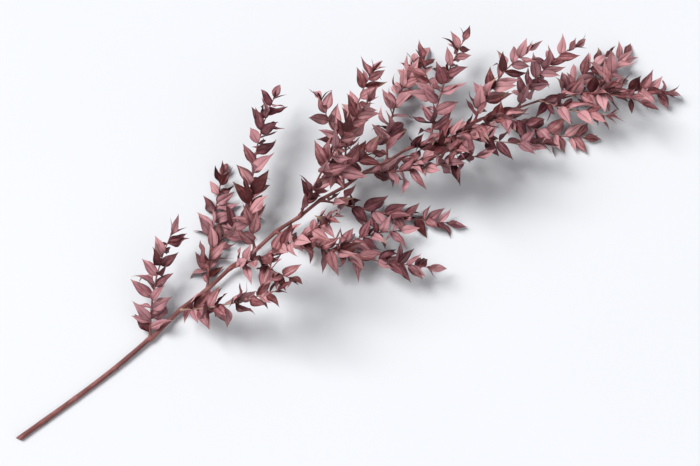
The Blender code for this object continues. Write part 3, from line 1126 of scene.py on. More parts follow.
@dataclass
class Blade:
    """A leaf as it is finished: its plain form, and what sets it apart from the next one.

    Its home is the twig that it grows on. It is free where no solid leaf stands for it.
    """

    leaf: Leaf
    tone: float
    straw: float
    skew: float
    cup: float
    wave: float
    phase: float
    curl: float
    home: str = ""
    free: bool = False

    def eased(self, leaf: Leaf, share: float) -> "Blade":
        """The blade on a leaf that is turned another way, with this share of its cup, waves and curl."""
        return replace(
            self, leaf=leaf, skew=self.skew * share, cup=self.cup * share,
            wave=self.wave * share, curl=self.curl * share,
        )

    def point(self, u: float, v: float) -> Vector:
        """A point of the finished blade's middle surface, by the same sums as the leaf tree's.

        Args:
            u: Share of the length, from root to tip.
            v: Place across, from -1 to 1.

        Returns:
            The point, in the plant's own frame.
        """
        leaf, widest = self.leaf, FORM.widest_at()
        centre, side, normal = leaf.frame_at(u)
        outline = (u / widest) ** FORM.base_power * ((1 - u) / (1 - widest)) ** FORM.tip_power
        half_width = leaf.width / 2 * outline
        reach = half_width * v * (1 + self.skew * v)
        fold = leaf.fold * (1 - u * LEAVES.fold_opens)
        ripple = v * v * math.sin(self.phase + u * FORM.ripple)
        cross_angle = self.phase * FORM.cross_phase + u * FORM.cross_ripple
        ripple += v * abs(v) * FORM.cross_share * math.sin(cross_angle)
        off = half_width * (self.cup * (abs(v) - v * v) + self.wave * ripple)
        off += self.curl * leaf.length * max(u - FORM.curl_from, 0.0) ** 2 + abs(reach) * math.sin(fold)
        point = centre + side * (reach * math.cos(fold)) + normal * off
        point.z = max(point.z, LEAF_GRID.thickness / 2 + FORM.floor_gap)
        return point

    def shell(self) -> Shell:
        """The finished blade's middle surface, from a little past its root, to test what it cuts through."""
        grid = LEAF_GRID
        rows = [(k / grid.rows) ** FORM.row_power for k in range(FORM.tested_from, grid.rows + 1)]
        places = [2 * k / grid.columns - 1 for k in range(grid.columns + 1)]
        across = [math.copysign(abs(place) ** grid.crowding, place) for place in places]
        vertices = [self.point(u, v) for u in rows for v in across]
        wide = len(across)
        faces = [
            (k, k + 1, k + 1 + wide, k + wide)
            for k in range(wide * (len(rows) - 1)) if k % wide < grid.columns
        ]
        return vertices, faces

    def values(self, shift: Vector) -> dict[str, float | Vector]:
        """What the leaf tree reads at this blade's point, by name."""
        leaf = self.leaf
        bend = leaf.bend if abs(leaf.bend) > FORM.straightest else FORM.straightest
        return {
            "root": leaf.root + shift, "heading": leaf.along, "across": leaf.across,
            "blade_length": leaf.length, "blade_width": leaf.width, "bend": bend, "twist": leaf.twist,
            "fold": leaf.fold, "tone": self.tone, "straw": self.straw, "skew": self.skew, "cup": self.cup,
            "wave": self.wave, "phase": self.phase, "curl": self.curl,
        }


@dataclass
class Crown:
    """Eases the finished blades so that they keep clear of each other, and of twigs that aren't their own.

    The test takes a blade's middle surface, from just past its root on. A blade that stands for a solid leaf
    isn't turned, and where nothing is clear it takes the gentlest form. A free blade is left out there.
    """

    shares: tuple[float, ...] = (1.0, 0.65, 0.35, 0.1, -0.35, -0.8)
    rolls: tuple[float, ...] = (0.0, 0.2, -0.2, 0.4, -0.4, 0.6, -0.6)
    gentlest: float = 0.1
    thicket: Thicket = field(default_factory=Thicket)

    def forms(self, blade: Blade) -> Iterator[Blade]:
        """The forms that a blade may take, its own first. Only a free blade is turned."""
        for roll in self.rolls if blade.free else self.rolls[:1]:
            leaf = blade.leaf.turned(blade.leaf.along, roll)
            if roll == 0.0 or leaf.lowest() >= -TINY:
                yield from (blade.eased(leaf, share) for share in self.shares)

    def settled(self, blade: Blade) -> Blade | None:
        """The blade in the first form that is clear.

        Args:
            blade: The blade as drawn.

        Returns:
            The blade, or None where a free blade has no clear form.
        """
        for form in self.forms(blade):
            shell = form.shell()
            if not self.thicket.blocks(shell, but=(blade.home,)):
                self.thicket.add(None, shell)
                return form
        if blade.free:
            return None
        plain = blade.eased(blade.leaf, self.gentlest)
        self.thicket.add(None, plain.shell())
        return plain

    def settle(self, sprays: list["Spray"]) -> None:
        """Settles the leaves of every spray: first those that stand for solid leaves, then the free ones.

        Args:
            sprays: The sprays, with their blades drawn. Each keeps the blades that have room.
        """
        for spray in sprays:
            for twig, _ in spray.twigs():
                self.thicket.add(twig.name, twig.shell(steps=STEM.shell_steps))
        drawn = {spray.number: spray.leaves for spray in sprays}
        for spray in sprays:
            spray.leaves = []
        for free in (False, True):
            for spray in sprays:
                settled = (self.settled(blade) for blade in drawn[spray.number] if blade.free is free)
                spray.leaves += [blade for blade in settled if blade]
        count = sum(len(blades) for blades in drawn.values())
        kept = sum(len(spray.leaves) for spray in sprays)
        LOG.info("crown: %d leaves, %d left out for want of room", kept, count - kept)


@dataclass
class LeafTree:
    """Grows leaf blades: two bent grids for each, creased at the midrib and joined at the margin."""

    sharp_angle: float = math.radians(55)
    crease_reach: float = 0.02
    weld: float = 0.00001
    kept: frozenset = frozenset({"blade_u", "blade_v", "blade_place", "under", "tone", "straw", "UVMap"})

    def __post_init__(self) -> None:
        tree = GrowthTree("leaf_growth")
        self.tree = tree
        rows = tree.size("Rows", "NodeSocketInt", LEAF_GRID.rows)
        columns = tree.size("Columns", "NodeSocketInt", LEAF_GRID.columns)
        crowding = tree.size("Crowding", value=LEAF_GRID.crowding)
        thickness = tree.size("Thickness", value=LEAF_GRID.thickness)
        finish = tree.size("Finish", "NodeSocketMaterial")
        layers = [self.layer(rows, columns, crowding, thickness, face) for face in Face]
        joined = tree.wire("GeometryNodeJoinGeometry")
        for layer in layers:
            tree.tree.links.new(layer.socket, joined.socket.node.inputs[0])
        welded = tree.wire(
            "GeometryNodeMergeByDistance", None, {"Geometry": joined, "Distance": self.weld}
        )
        sockets = {"A": tree.size_of(tree.read("blade_v")), "B": self.crease_reach}
        crease = tree.wire("FunctionNodeCompare", {"operation": "LESS_THAN"}, sockets)
        tree.finish(tree.shaded(welded, self.sharp_angle, crease), finish)

    def layer(self, rows: Wire, columns: Wire, crowding: Wire, thickness: Wire, face: Face) -> Wire:
        """One face of every blade.

        Args:
            rows: Faces from root to tip.
            columns: Faces across.
            crowding: How far the columns crowd to the midrib.
            thickness: The blade's thickness at its midrib.
            face: Which face it is.

        Returns:
            The layer's geometry.
        """
        tree = self.tree
        sockets = {"Size X": 2.0, "Size Y": 1.0, "Vertices X": columns + 1.0, "Vertices Y": rows + 1.0}
        grid = tree.wire("GeometryNodeMeshGrid", None, sockets)
        u = tree.most(tree.part(tree.place(), "Y") + 0.5, 0.0) ** FORM.row_power
        across = tree.part(tree.place(), "X")
        v = tree.reckon("SIGN", across) * tree.size_of(across) ** crowding
        grid = tree.keep(grid, "blade_u", u)
        grid = tree.keep(grid, "blade_v", v)
        grid = tree.keep(grid, "under", face.value, domain="FACE")
        sockets = {"Points": tree.source, "Instance": grid}
        blades = tree.wire("GeometryNodeInstanceOnPoints", None, sockets)
        blades = tree.wire("GeometryNodeRealizeInstances", None, {"Geometry": blades})
        u, v = tree.read("blade_u"), tree.read("blade_v")
        lift = self.lift(u, v, thickness) * (1.0 if face is Face.UPPER else -1.0)
        reach, surface, normal = self.surface(u, v, thickness)
        blades = tree.keep(
            blades, "blade_place",
            tree.vector(reach, u * tree.read("blade_length"), tree.read("phase")), "FLOAT_VECTOR",
        )
        blades = tree.keep(blades, "UVMap", tree.vector(v * 0.5 + 0.5, u, 0.0), "FLOAT2", "CORNER")
        blades = tree.moved_to(blades, surface + normal * lift)
        if face is Face.UPPER:
            blades = tree.wire("GeometryNodeFlipFaces", None, {"Mesh": blades})
        return blades

    def lift(self, u: Wire, v: Wire, thickness: Wire) -> Wire:
        """Half the blade's thickness, which runs out at the margin, the root and the tip."""
        tree = self.tree
        ends = tree.least(u * FORM.root_taper, 1.0) * tree.least((1.0 - u) * FORM.tip_taper, 1.0)
        return thickness * 0.5 * (1.0 - v * v * v * v) * ends

    def surface(self, u: Wire, v: Wire, thickness: Wire) -> tuple[Wire, Wire, Wire]:
        """The blade's middle surface.

        Args:
            u: Share of the length.
            v: Place across, from -1 to 1.
            thickness: The blade's thickness.

        Returns:
            How far the point lies from the midrib, where it is, and the blade's normal there.
        """
        tree = self.tree
        along, across = tree.read("heading", "FLOAT_VECTOR"), tree.read("across", "FLOAT_VECTOR")
        length, bend = tree.read("blade_length"), tree.read("bend")
        facing = tree.reckon("CROSS_PRODUCT", along, across)
        turn = bend * u
        ahead, rise = tree.sine(turn) / bend, (1.0 - tree.cosine(turn)) / bend
        centre = tree.read("root", "FLOAT_VECTOR") + (along * ahead + facing * rise) * length
        normal = facing * tree.cosine(turn) - along * tree.sine(turn)
        twist = tree.read("twist") * u
        side = across * tree.cosine(twist) + normal * tree.sine(twist)
        normal = normal * tree.cosine(twist) - across * tree.sine(twist)
        widest = FORM.widest_at()
        outline = (u / widest) ** FORM.base_power * ((1.0 - u) / (1 - widest)) ** FORM.tip_power
        half_width = tree.read("blade_width") * 0.5 * outline
        reach = half_width * v * (1.0 + tree.read("skew") * v)
        fold = tree.read("fold") * (1.0 - u * LEAVES.fold_opens)
        size = tree.size_of(v)
        phase = tree.read("phase")
        ripple = v * v * tree.sine(phase + u * FORM.ripple)
        cross_angle = phase * FORM.cross_phase + u * FORM.cross_ripple
        ripple = ripple + v * size * FORM.cross_share * tree.sine(cross_angle)
        tip = tree.most(u - FORM.curl_from, 0.0)
        off = half_width * (tree.read("cup") * (size - v * v) + tree.read("wave") * ripple)
        off = off + tree.read("curl") * length * tip * tip
        off = off + tree.size_of(reach) * tree.sine(fold)
        surface = centre + side * (reach * tree.cosine(fold)) + normal * off
        lowest = thickness * 0.5 + FORM.floor_gap
        held = tree.vector(
            tree.part(surface, "X"), tree.part(surface, "Y"), tree.most(tree.part(surface, "Z"), lowest)
        )
        return reach, held, normal

    def grown(
        self, name: str, blades: list[Blade], grid: BladeGrid, shift: Vector, finish: bpy.types.Material
    ) -> bpy.types.Mesh:
        """The mesh of some blades.

        Args:
            name: The name of the points that it grows from.
            blades: The blades.
            grid: How finely they are cut.
            shift: What is added to their places.
            finish: Their finish.

        Returns:
            The mesh.
        """
        rows = [blade.values(shift) for blade in blades]
        columns = {key: [row[key] for row in rows] for key in rows[0]}
        source = point_object(name, columns["root"], [], columns)
        return self.tree.grown(source, grid.sizes() | {"Finish": finish}, set(self.kept))


@dataclass
class TwigTree:
    """Grows the bark of twigs: a round tube along each line of points, lightly furrowed lengthwise."""

    furrow: Noise = Noise(1.0, 1.0)
    furrow_scale: float = 1.6
    furrow_stretch: float = 90.0
    sharp_angle: float = math.radians(50)
    kept: frozenset = frozenset({"bark_place", "scar", "pale", "UVMap"})

    def __post_init__(self) -> None:
        tree = GrowthTree("twig_growth")
        self.tree = tree
        sides = tree.size("Sides", "NodeSocketInt", 8)
        furrow = tree.size("Furrow Depth", value=0.06)
        finish = tree.size("Finish", "NodeSocketMaterial")
        lines = tree.wire("GeometryNodeMeshToCurve", None, {"Mesh": tree.source})
        lines = tree.keep(lines, "centre", tree.place(), "FLOAT_VECTOR")
        ring = tree.wire("GeometryNodeCurvePrimitiveCircle", None, {"Resolution": sides, "Radius": 1.0})
        ring = tree.keep(ring, "ring", tree.place(), "FLOAT_VECTOR")
        sockets = {"Curve": lines, "Profile Curve": ring, "Scale": tree.read("girth"), "Fill Caps": True}
        bark = tree.wire("GeometryNodeCurveToMesh", None, sockets)
        bark = tree.wire("GeometryNodeMergeByDistance", None, {"Geometry": bark, "Distance": TINY})
        ring_place, along = tree.read("ring", "FLOAT_VECTOR"), tree.read("along")
        furrow_place = ring_place * self.furrow_scale + tree.vector(0.0, 0.0, along * self.furrow_stretch)
        centre = tree.read("centre", "FLOAT_VECTOR")
        height = 1.0 + (tree.noise(furrow_place, self.furrow) - 0.5) * furrow * 2.0
        position = centre + (tree.place() - centre) * height
        held = tree.vector(
            tree.part(position, "X"), tree.part(position, "Y"), tree.most(tree.part(position, "Z"), 0.0)
        )
        around = ring_place * tree.read("girth")
        bark = tree.keep(bark, "bark_place", around + tree.vector(0.0, 0.0, along), "FLOAT_VECTOR")
        bark = tree.moved_to(bark, held)
        tree.finish(tree.shaded(bark, self.sharp_angle), finish)


@dataclass(frozen=True)
class BladePlay:
    """How the finished blades differ from one to the next. A pair is the range of an even draw."""

    spray_tone: float = 0.52
    spray_tone_play: float = 0.10
    tone_play: float = 0.30
    skew: Span = (-0.10, 0.10)
    cup: Span = (-0.12, 0.60)
    wave: Span = (0.06, 0.26)
    strong_wave: Span = (0.28, 0.46)
    strong_wave_odds: float = 0.18
    curl_middle: float = -0.12
    curl_spread: float = 0.42
    straw_odds: float = 0.045
    straw: Span = (0.55, 1.0)
    faint_straw: Span = (0.0, 0.16)
    looser_filling: float = 1.7
    scale_tone: float = 0.22
    scale_straw: Span = (0.2, 0.9)
    tip_tone: float = 0.55


PLAY = BladePlay()


@dataclass
class Spray:
    """One leafy spray, a twig with its forks: its bark, its leaves, the scales at their feet and its tip."""

    twig: Twig
    number: int
    shift: Vector
    parent_radius: float = 0.0
    ring_step: float = 0.0012
    fewest_rings: int = 6
    sides: int = 8
    node_swelling: float = 0.32
    node_reach: float = 0.0011
    scar_reach: float = 0.0013
    zigzag: float = 0.00028
    flare: float = 0.75
    flare_reach: float = 0.0020
    end_share: float = 0.45
    end_reach: float = 0.0012
    furrow_depth: float = 0.09
    scale_lengths: Span = (0.0026, 0.0042)
    scale_slimness: float = 0.46
    scale_lean: float = math.radians(20)
    scale_root: float = 0.75
    scale_fold: float = 0.6
    scale_turn: Span = (-0.7, 0.3)
    scale_overlap: float = 0.25
    scale_bend: float = 0.25
    tip_count: int = 4
    tip_lengths: Span = (0.0105, 0.0180)
    tip_slimness: float = 0.23
    tip_widths: Span = (0.8, 1.2)
    tip_angles: Span = (math.radians(14), math.radians(46))
    tip_turn: float = 0.2
    tip_step: float = 0.0012
    tip_bend: float = -0.05
    tip_bend_spread: float = 0.2
    tip_fold: float = 0.5
    pale_odds: float = 0.16
    pale: Span = (0.55, 0.85)
    faint_pale: Span = (0.0, 0.12)
    seed: int = 7000
    pale_seed: int = 7500
    leaves: list[Blade] = field(default_factory=list)
    scales: list[Blade] = field(default_factory=list)

    def twigs(self) -> list[tuple[Twig, float]]:
        """Each twig of the spray, with the radius of what it grows from."""
        return [(self.twig, self.parent_radius), *((fork, self.twig.foot_radius) for fork in self.twig.forks)]

    def nodes(self, twig: Twig) -> list[float]:
        """The places along a twig where it swells and is scarred."""
        return [place for place, _ in twig.places]

    def rings(self, twig: Twig, parent_radius: float) -> list[tuple[Vector, float, float, float]]:
        """The rings of bark along a twig.

        Args:
            twig: The twig.
            parent_radius: The radius of what it grows from, which hides its foot.

        Returns:
            Each ring's centre, radius, length along the twig and share of a scar.
        """
        count = max(int(twig.line.length / self.ring_step), self.fewest_rings)
        line = Line(curve_through(twig.line.points, count))
        nodes = self.nodes(twig)
        rings = []
        for s in line.reach:
            plain = s * twig.line.length / line.length
            k = bisect.bisect_right(nodes, plain)
            before = nodes[k - 1] if k else 0.0
            after = nodes[k] if k < len(nodes) else twig.line.length
            share = (plain - before) / max(after - before, TINY)
            step = (1 - 2 * share) * (-1) ** (k + 1) if 0 < k < len(nodes) else 0.0
            sideways = twig.facing.cross(line.direction(s)).normalized()
            nearest = min(abs(plain - node) for node in nodes)
            swelling = self.node_swelling * math.exp(-((nearest / self.node_reach) ** 2))
            radius = twig.radius(plain) * (1 + swelling)
            radius *= 1 + self.flare * math.exp(-max(plain - parent_radius, 0.0) / self.flare_reach)
            left = twig.line.length - plain
            radius *= 1 - self.end_share * math.exp(-left / self.end_reach)
            scar = math.exp(-((nearest / self.scar_reach) ** 2))
            rings.append((line.at(s) + sideways * self.zigzag * step + self.shift, radius, plain, scar))
        return rings

    def bark(self, tree: TwigTree, finish: bpy.types.Material) -> bpy.types.Mesh:
        """The bark of the twig and its forks.

        Args:
            tree: What grows the bark.
            finish: Its finish.

        Returns:
            The mesh.
        """
        draw = random.Random(self.pale_seed + self.number)
        pale = draw.uniform(*(self.pale if draw.random() < self.pale_odds else self.faint_pale))
        points, edges = [], []
        values = {"girth": [], "along": [], "scar": [], "pale": []}
        for twig, parent_radius in self.twigs():
            first = len(points)
            for centre, radius, along, scar in self.rings(twig, parent_radius):
                points.append(centre)
                values["girth"].append(radius)
                values["along"].append(along)
                values["scar"].append(scar)
                values["pale"].append(pale)
            edges += [(k, k + 1) for k in range(first, len(points) - 1)]
        source = point_object(self.twig.name + "_lines", points, edges, values)
        sizes = {"Sides": self.sides, "Furrow Depth": self.furrow_depth, "Finish": finish}
        return tree.tree.grown(source, sizes, set(tree.kept))

    def blade(
        self, draw: random.Random, leaf: Leaf, tone: float, straw: float | None = None, looser: float = 1.0
    ) -> Blade:
        """A leaf with what sets it apart from the next, drawn at random.

        Args:
            draw: The spray's own random draws.
            leaf: The plain leaf.
            tone: How light its dye usually is, from 0 to 1.
            straw: How undyed its tip is, or None for the usual odds.
            looser: How much more than usual it is waved and curled.

        Returns:
            The blade.
        """
        own_tone = min(max(tone + draw.gauss(0, PLAY.tone_play), 0.0), 1.0)
        skew = draw.uniform(*PLAY.skew)
        cup = draw.uniform(*PLAY.cup)
        wave = draw.uniform(*(PLAY.wave if draw.random() > PLAY.strong_wave_odds else PLAY.strong_wave))
        phase = draw.uniform(0, math.tau)
        curl = draw.gauss(PLAY.curl_middle, PLAY.curl_spread) * looser
        own_straw = draw.uniform(*(PLAY.straw if draw.random() < PLAY.straw_odds else PLAY.faint_straw))
        straw = own_straw if straw is None else straw
        return Blade(leaf, own_tone, straw, skew, cup, wave * looser, phase, curl)

    def scale(self, draw: random.Random, twig: Twig, place: float, side: int, lengths: Span) -> Blade:
        """The papery scale in whose arm a leaf or a shoot stands, pressed to the twig.

        Args:
            draw: The spray's random draws.
            twig: What it grows on.
            place: How far along the twig.
            side: 1 or -1, the side that it lies on.
            lengths: The range of its length.

        Returns:
            The scale, as a small blade.
        """
        ahead = twig.line.direction(place)
        out = twig.facing.cross(ahead).normalized() * side + twig.facing * draw.uniform(*self.scale_turn)
        out = (out - ahead * out.dot(ahead)).normalized()
        along = (ahead * math.cos(self.scale_lean) + out * math.sin(self.scale_lean)).normalized()
        inward = (along * out.dot(along) - out).normalized()
        across = inward.cross(along)
        length = draw.uniform(*lengths)
        root = twig.line.at(place) + out * (twig.radius(place) * self.scale_root)
        root -= ahead * (length * self.scale_overlap)
        width = length * self.scale_slimness
        leaf = Leaf(root, along, across, length, width, self.scale_bend, 0.0, self.scale_fold)
        return self.blade(draw, leaf, PLAY.scale_tone, draw.uniform(*PLAY.scale_straw))

    def tip_leaves(self, draw: random.Random, twig: Twig) -> list[Blade]:
        """The young narrow leaves that a twig ends in.

        Args:
            draw: The spray's random draws.
            twig: The twig.

        Returns:
            The leaves, in a ring that opens to the tip.
        """
        ahead = twig.line.direction(twig.line.length)
        sideways = twig.facing.cross(ahead).normalized()
        blades = []
        for k in range(self.tip_count):
            around = math.tau * (k + draw.uniform(-self.tip_turn, self.tip_turn)) / self.tip_count
            out = sideways * math.cos(around) + twig.facing * math.sin(around)
            angle = draw.uniform(*self.tip_angles)
            along = (ahead * math.cos(angle) + out * math.sin(angle)).normalized()
            inward = (along * out.dot(along) - out).normalized()
            length = draw.uniform(*self.tip_lengths)
            width = length * self.tip_slimness * draw.uniform(*self.tip_widths)
            root = twig.line.at(twig.line.length - self.tip_step * k)
            bend = draw.gauss(self.tip_bend, self.tip_bend_spread)
            leaf = Leaf(root, along, inward.cross(along), length, width, bend, 0.0, self.tip_fold)
            blades.append(self.blade(draw, leaf, PLAY.tip_tone))
        return blades

    def draw_blades(self) -> None:
        """Draws every blade of the spray: its leaves and its small scales."""
        draw = random.Random(self.seed + self.number)
        tone = PLAY.spray_tone + draw.gauss(0, PLAY.spray_tone_play)
        for twig, _ in self.twigs():
            for leaf, (place, side) in zip(twig.leaves, twig.places):
                self.leaves.append(replace(self.blade(draw, leaf, tone), home=twig.name))
                self.scales.append(self.scale(draw, twig, place, side or 1, self.scale_lengths))
            free = [self.blade(draw, leaf, tone, looser=PLAY.looser_filling) for leaf in twig.filling]
            free += self.tip_leaves(draw, twig)
            self.leaves += [replace(blade, home=twig.name, free=True) for blade in free]

    def foliage(self, tree: LeafTree, finish: bpy.types.Material) -> bpy.types.Mesh:
        """The mesh of the leaves, with the scales joined in.

        Args:
            tree: What grows the leaves.
            finish: Their finish.

        Returns:
            The mesh.
        """
        name = self.twig.name
        mesh = tree.grown(name + "_leaf_points", self.leaves, LEAF_GRID, self.shift, finish)
        fine = tree.grown(name + "_scale_points", self.scales, SCALE_GRID, self.shift, finish)
        return joined(name + "_leaves", [mesh, fine])

    def pieces(self, twigs: TwigTree, leaves: LeafTree, finishes: dict[Slot, bpy.types.Material]) -> None:
        """Makes the spray's two pieces, in place of its solid.

        Args:
            twigs: What grows bark.
            leaves: What grows leaves.
            finishes: The finish of each slot.
        """
        name = self.twig.name
        show(name + "_bark", self.bark(twigs, finishes[Slot.BARK]), Slot.BARK, name)
        show(name + "_leaves", self.foliage(leaves, finishes[Slot.LEAF]), Slot.LEAF, name)


@dataclass
class MainSpray(Spray):
    """The main stem: thicker bark with a slanted cut, a papery scale under each shoot, and its leafy tip."""

    sides: int = 24
    node_swelling: float = 0.05
    node_reach: float = 0.0022
    scar_reach: float = 0.0024
    zigzag: float = 0.0
    flare: float = 0.0
    furrow_depth: float = 0.06
    tip_count: int = 5
    tip_lengths: Span = (0.014, 0.021)
    bare_nodes: tuple[float, ...] = (0.029, 0.067, 0.113)
    big_scale_lengths: Span = (0.0055, 0.0085)
    scale_slimness: float = 0.62
    scale_lean: float = math.radians(6)
    scale_root: float = 1.03
    scale_fold: float = 0.5
    spare_start: float = 0.004
    rim: float = 0.00030
    shortest_edge: float = 0.00025
    pith_inset: float = 0.00110
    pith_depth: float = 0.00030

    def twigs(self) -> list[tuple[Twig, float]]:
        """The main stem alone."""
        return [(self.twig, 0.0)]

    def nodes(self, twig: Twig) -> list[float]:
        """The bare scars, the feet of the shoots and those of the leaves at the tip."""
        return sorted([*self.bare_nodes, *PLACES, *super().nodes(twig)])

    def rings(self, twig: Twig, parent_radius: float) -> list[tuple[Vector, float, float, float]]:
        """The stem's rings, with one more below the cut, for the saw to take off."""
        rings = super().rings(twig, parent_radius)
        centre, radius, along, scar = rings[0]
        before = centre - twig.line.direction(0.0) * self.spare_start
        return [(before, radius, along - self.spare_start, scar), *rings]

    def cut_centre(self) -> Vector:
        """The middle of the slanted cut."""
        return self.twig.line.at(STEM.butt_radius * math.tan(STEM.butt_slant)) + self.shift

    def bark(self, tree: TwigTree, finish: bpy.types.Material) -> bpy.types.Mesh:
        """The stem's bark, cut off at a slant and closed with bare wood round a sunken pith.

        Very short edges at the cut are merged first, because the even inset runs away at them.

        Args:
            tree: What grows the bark.
            finish: Its finish.

        Returns:
            The mesh.
        """
        mesh = super().bark(tree, finish)
        shape = bmesh.new()
        shape.from_mesh(mesh)
        cut = shape.faces.layers.float.new("cut")
        slant = Matrix.Rotation(STEM.butt_slant, 3, "Z") @ Vector((1.0, 0.0, 0.0))
        bmesh.ops.bisect_plane(
            shape, geom=[*shape.verts, *shape.edges, *shape.faces],
            plane_co=self.cut_centre(), plane_no=slant, clear_inner=True,
        )
        rim = [vertex for vertex in shape.verts if vertex.is_boundary]
        bmesh.ops.remove_doubles(shape, verts=rim, dist=self.shortest_edge)
        edges = [edge for edge in shape.edges if edge.is_boundary]
        wood = bmesh.ops.contextual_create(shape, geom=edges)["faces"]
        ring = bmesh.ops.inset_region(shape, faces=wood, thickness=self.rim, use_even_offset=True)["faces"]
        pith = bmesh.ops.inset_region(
            shape, faces=wood, thickness=self.pith_inset, depth=-self.pith_depth, use_even_offset=True
        )["faces"]
        for face in [*wood, *ring, *pith]:
            face[cut] = 1.0
        bmesh.ops.recalc_face_normals(shape, faces=shape.faces)
        shape.to_mesh(mesh)
        shape.free()
        return mesh

    def draw_blades(self) -> None:
        """Draws the stem's leaves, and the larger scales below its shoots and on its bare stretch."""
        super().draw_blades()
        draw = random.Random(self.seed)
        for number, place in enumerate([*self.bare_nodes, *PLACES]):
            side = (-1) ** (number + len(self.bare_nodes))
            self.scales.append(self.scale(draw, self.twig, place, side, self.big_scale_lengths))


def joined(name: str, meshes: list[bpy.types.Mesh]) -> bpy.types.Mesh:
    """Several meshes of one finish as one.

    Args:
        name: The new mesh's name.
        meshes: The meshes, which go.

    Returns:
        One mesh, with the first one's material.
    """
    objects = []
    for mesh in meshes:
        part = bpy.data.objects.new(name, mesh)
        bpy.context.scene.collection.objects.link(part)
        objects.append(part)
    with bpy.context.temp_override(
        active_object=objects[0], selected_editable_objects=objects, selected_objects=objects
    ):
        bpy.ops.object.join()
    mesh = objects[0].data
    bpy.data.objects.remove(objects[0])
    return mesh


def show(name: str, mesh: bpy.types.Mesh, slot: Slot, node: str) -> bpy.types.Object:
    """Puts a finished piece in the place of its solid.

    Args:
        name: The piece's name.
        mesh: Its mesh, placed already.
        slot: The record's slot of the piece; not used.
        node: The solid that it stands for.

    Returns:
        The piece.
    """
    mesh.name = name
    piece = bpy.data.objects.new(name, mesh)
    bpy.context.scene.collection.objects.link(piece)
    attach(piece, BODY)
    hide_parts(node)
    low, high = box_of([vertex.co for vertex in mesh.vertices])
    solid_low, solid_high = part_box(node)
    beyond = [max(solid_low[k] - low[k], high[k] - solid_high[k]) * 1000 for k in range(3)]
    mesh.calc_loop_triangles()
    LOG.info(
        "%s: %d triangles, beyond its solid by %s mm", name, len(mesh.loop_triangles),
        ", ".join(f"{gap:.1f}" for gap in beyond),
    )
    return piece


class FinishTree(Bench):
    """The node tree of one finish."""

    def __init__(self, name: str) -> None:
        self.material = bpy.data.materials.new(name)
        self.material.use_nodes = True
        super().__init__(self.material.node_tree)
        self.tree.nodes.clear()

    def attribute(self, name: str, output: str = "Fac") -> Wire:
        """A named attribute of the surface."""
        settings = {"attribute_type": "GEOMETRY", "attribute_name": name}
        return self.wire("ShaderNodeAttribute", settings, None, output)

    def place(self) -> Wire:
        """The place on the piece, in metres."""
        return self.wire("ShaderNodeTexCoord", None, None, "Object")

    def mix(self, factor: Term, one: object, other: object) -> Wire:
        """One colour going over into another.

        Args:
            factor: How much of the other there is.
            one: A colour or a wire that carries one.
            other: A colour or a wire that carries one.

        Returns:
            The mixed colour.
        """
        colours = [colour if isinstance(colour, Wire) else (*colour, 1.0) for colour in (one, other)]
        sockets = {"Factor_Float": factor, "A_Color": colours[0], "B_Color": colours[1]}
        return self.wire("ShaderNodeMix", {"data_type": "RGBA"}, sockets, "Result_Color")

    def finish(
        self, colour: Wire, roughness: Wire, height: Wire, relief: float, strength: float,
        constants: dict[str, float] | None = None,
    ) -> bpy.types.Material:
        """Ends the tree in one shader.

        Args:
            colour: The base colour.
            roughness: The roughness.
            height: The relief's height, in units of the relief.
            relief: What a height of 1 measures, in metres.
            strength: How strongly the relief is shaded.
            constants: Other values of the shader, the same all over.

        Returns:
            The material.
        """
        bump = self.wire(
            "ShaderNodeBump", None, {"Strength": strength, "Distance": relief, "Height": height}, "Normal"
        )
        sockets = {"Base Color": colour, "Roughness": roughness, "Normal": bump, **(constants or {})}
        shader = self.wire("ShaderNodeBsdfPrincipled", None, sockets)
        self.node("ShaderNodeOutputMaterial", None, {"Surface": shader})
        return self.material


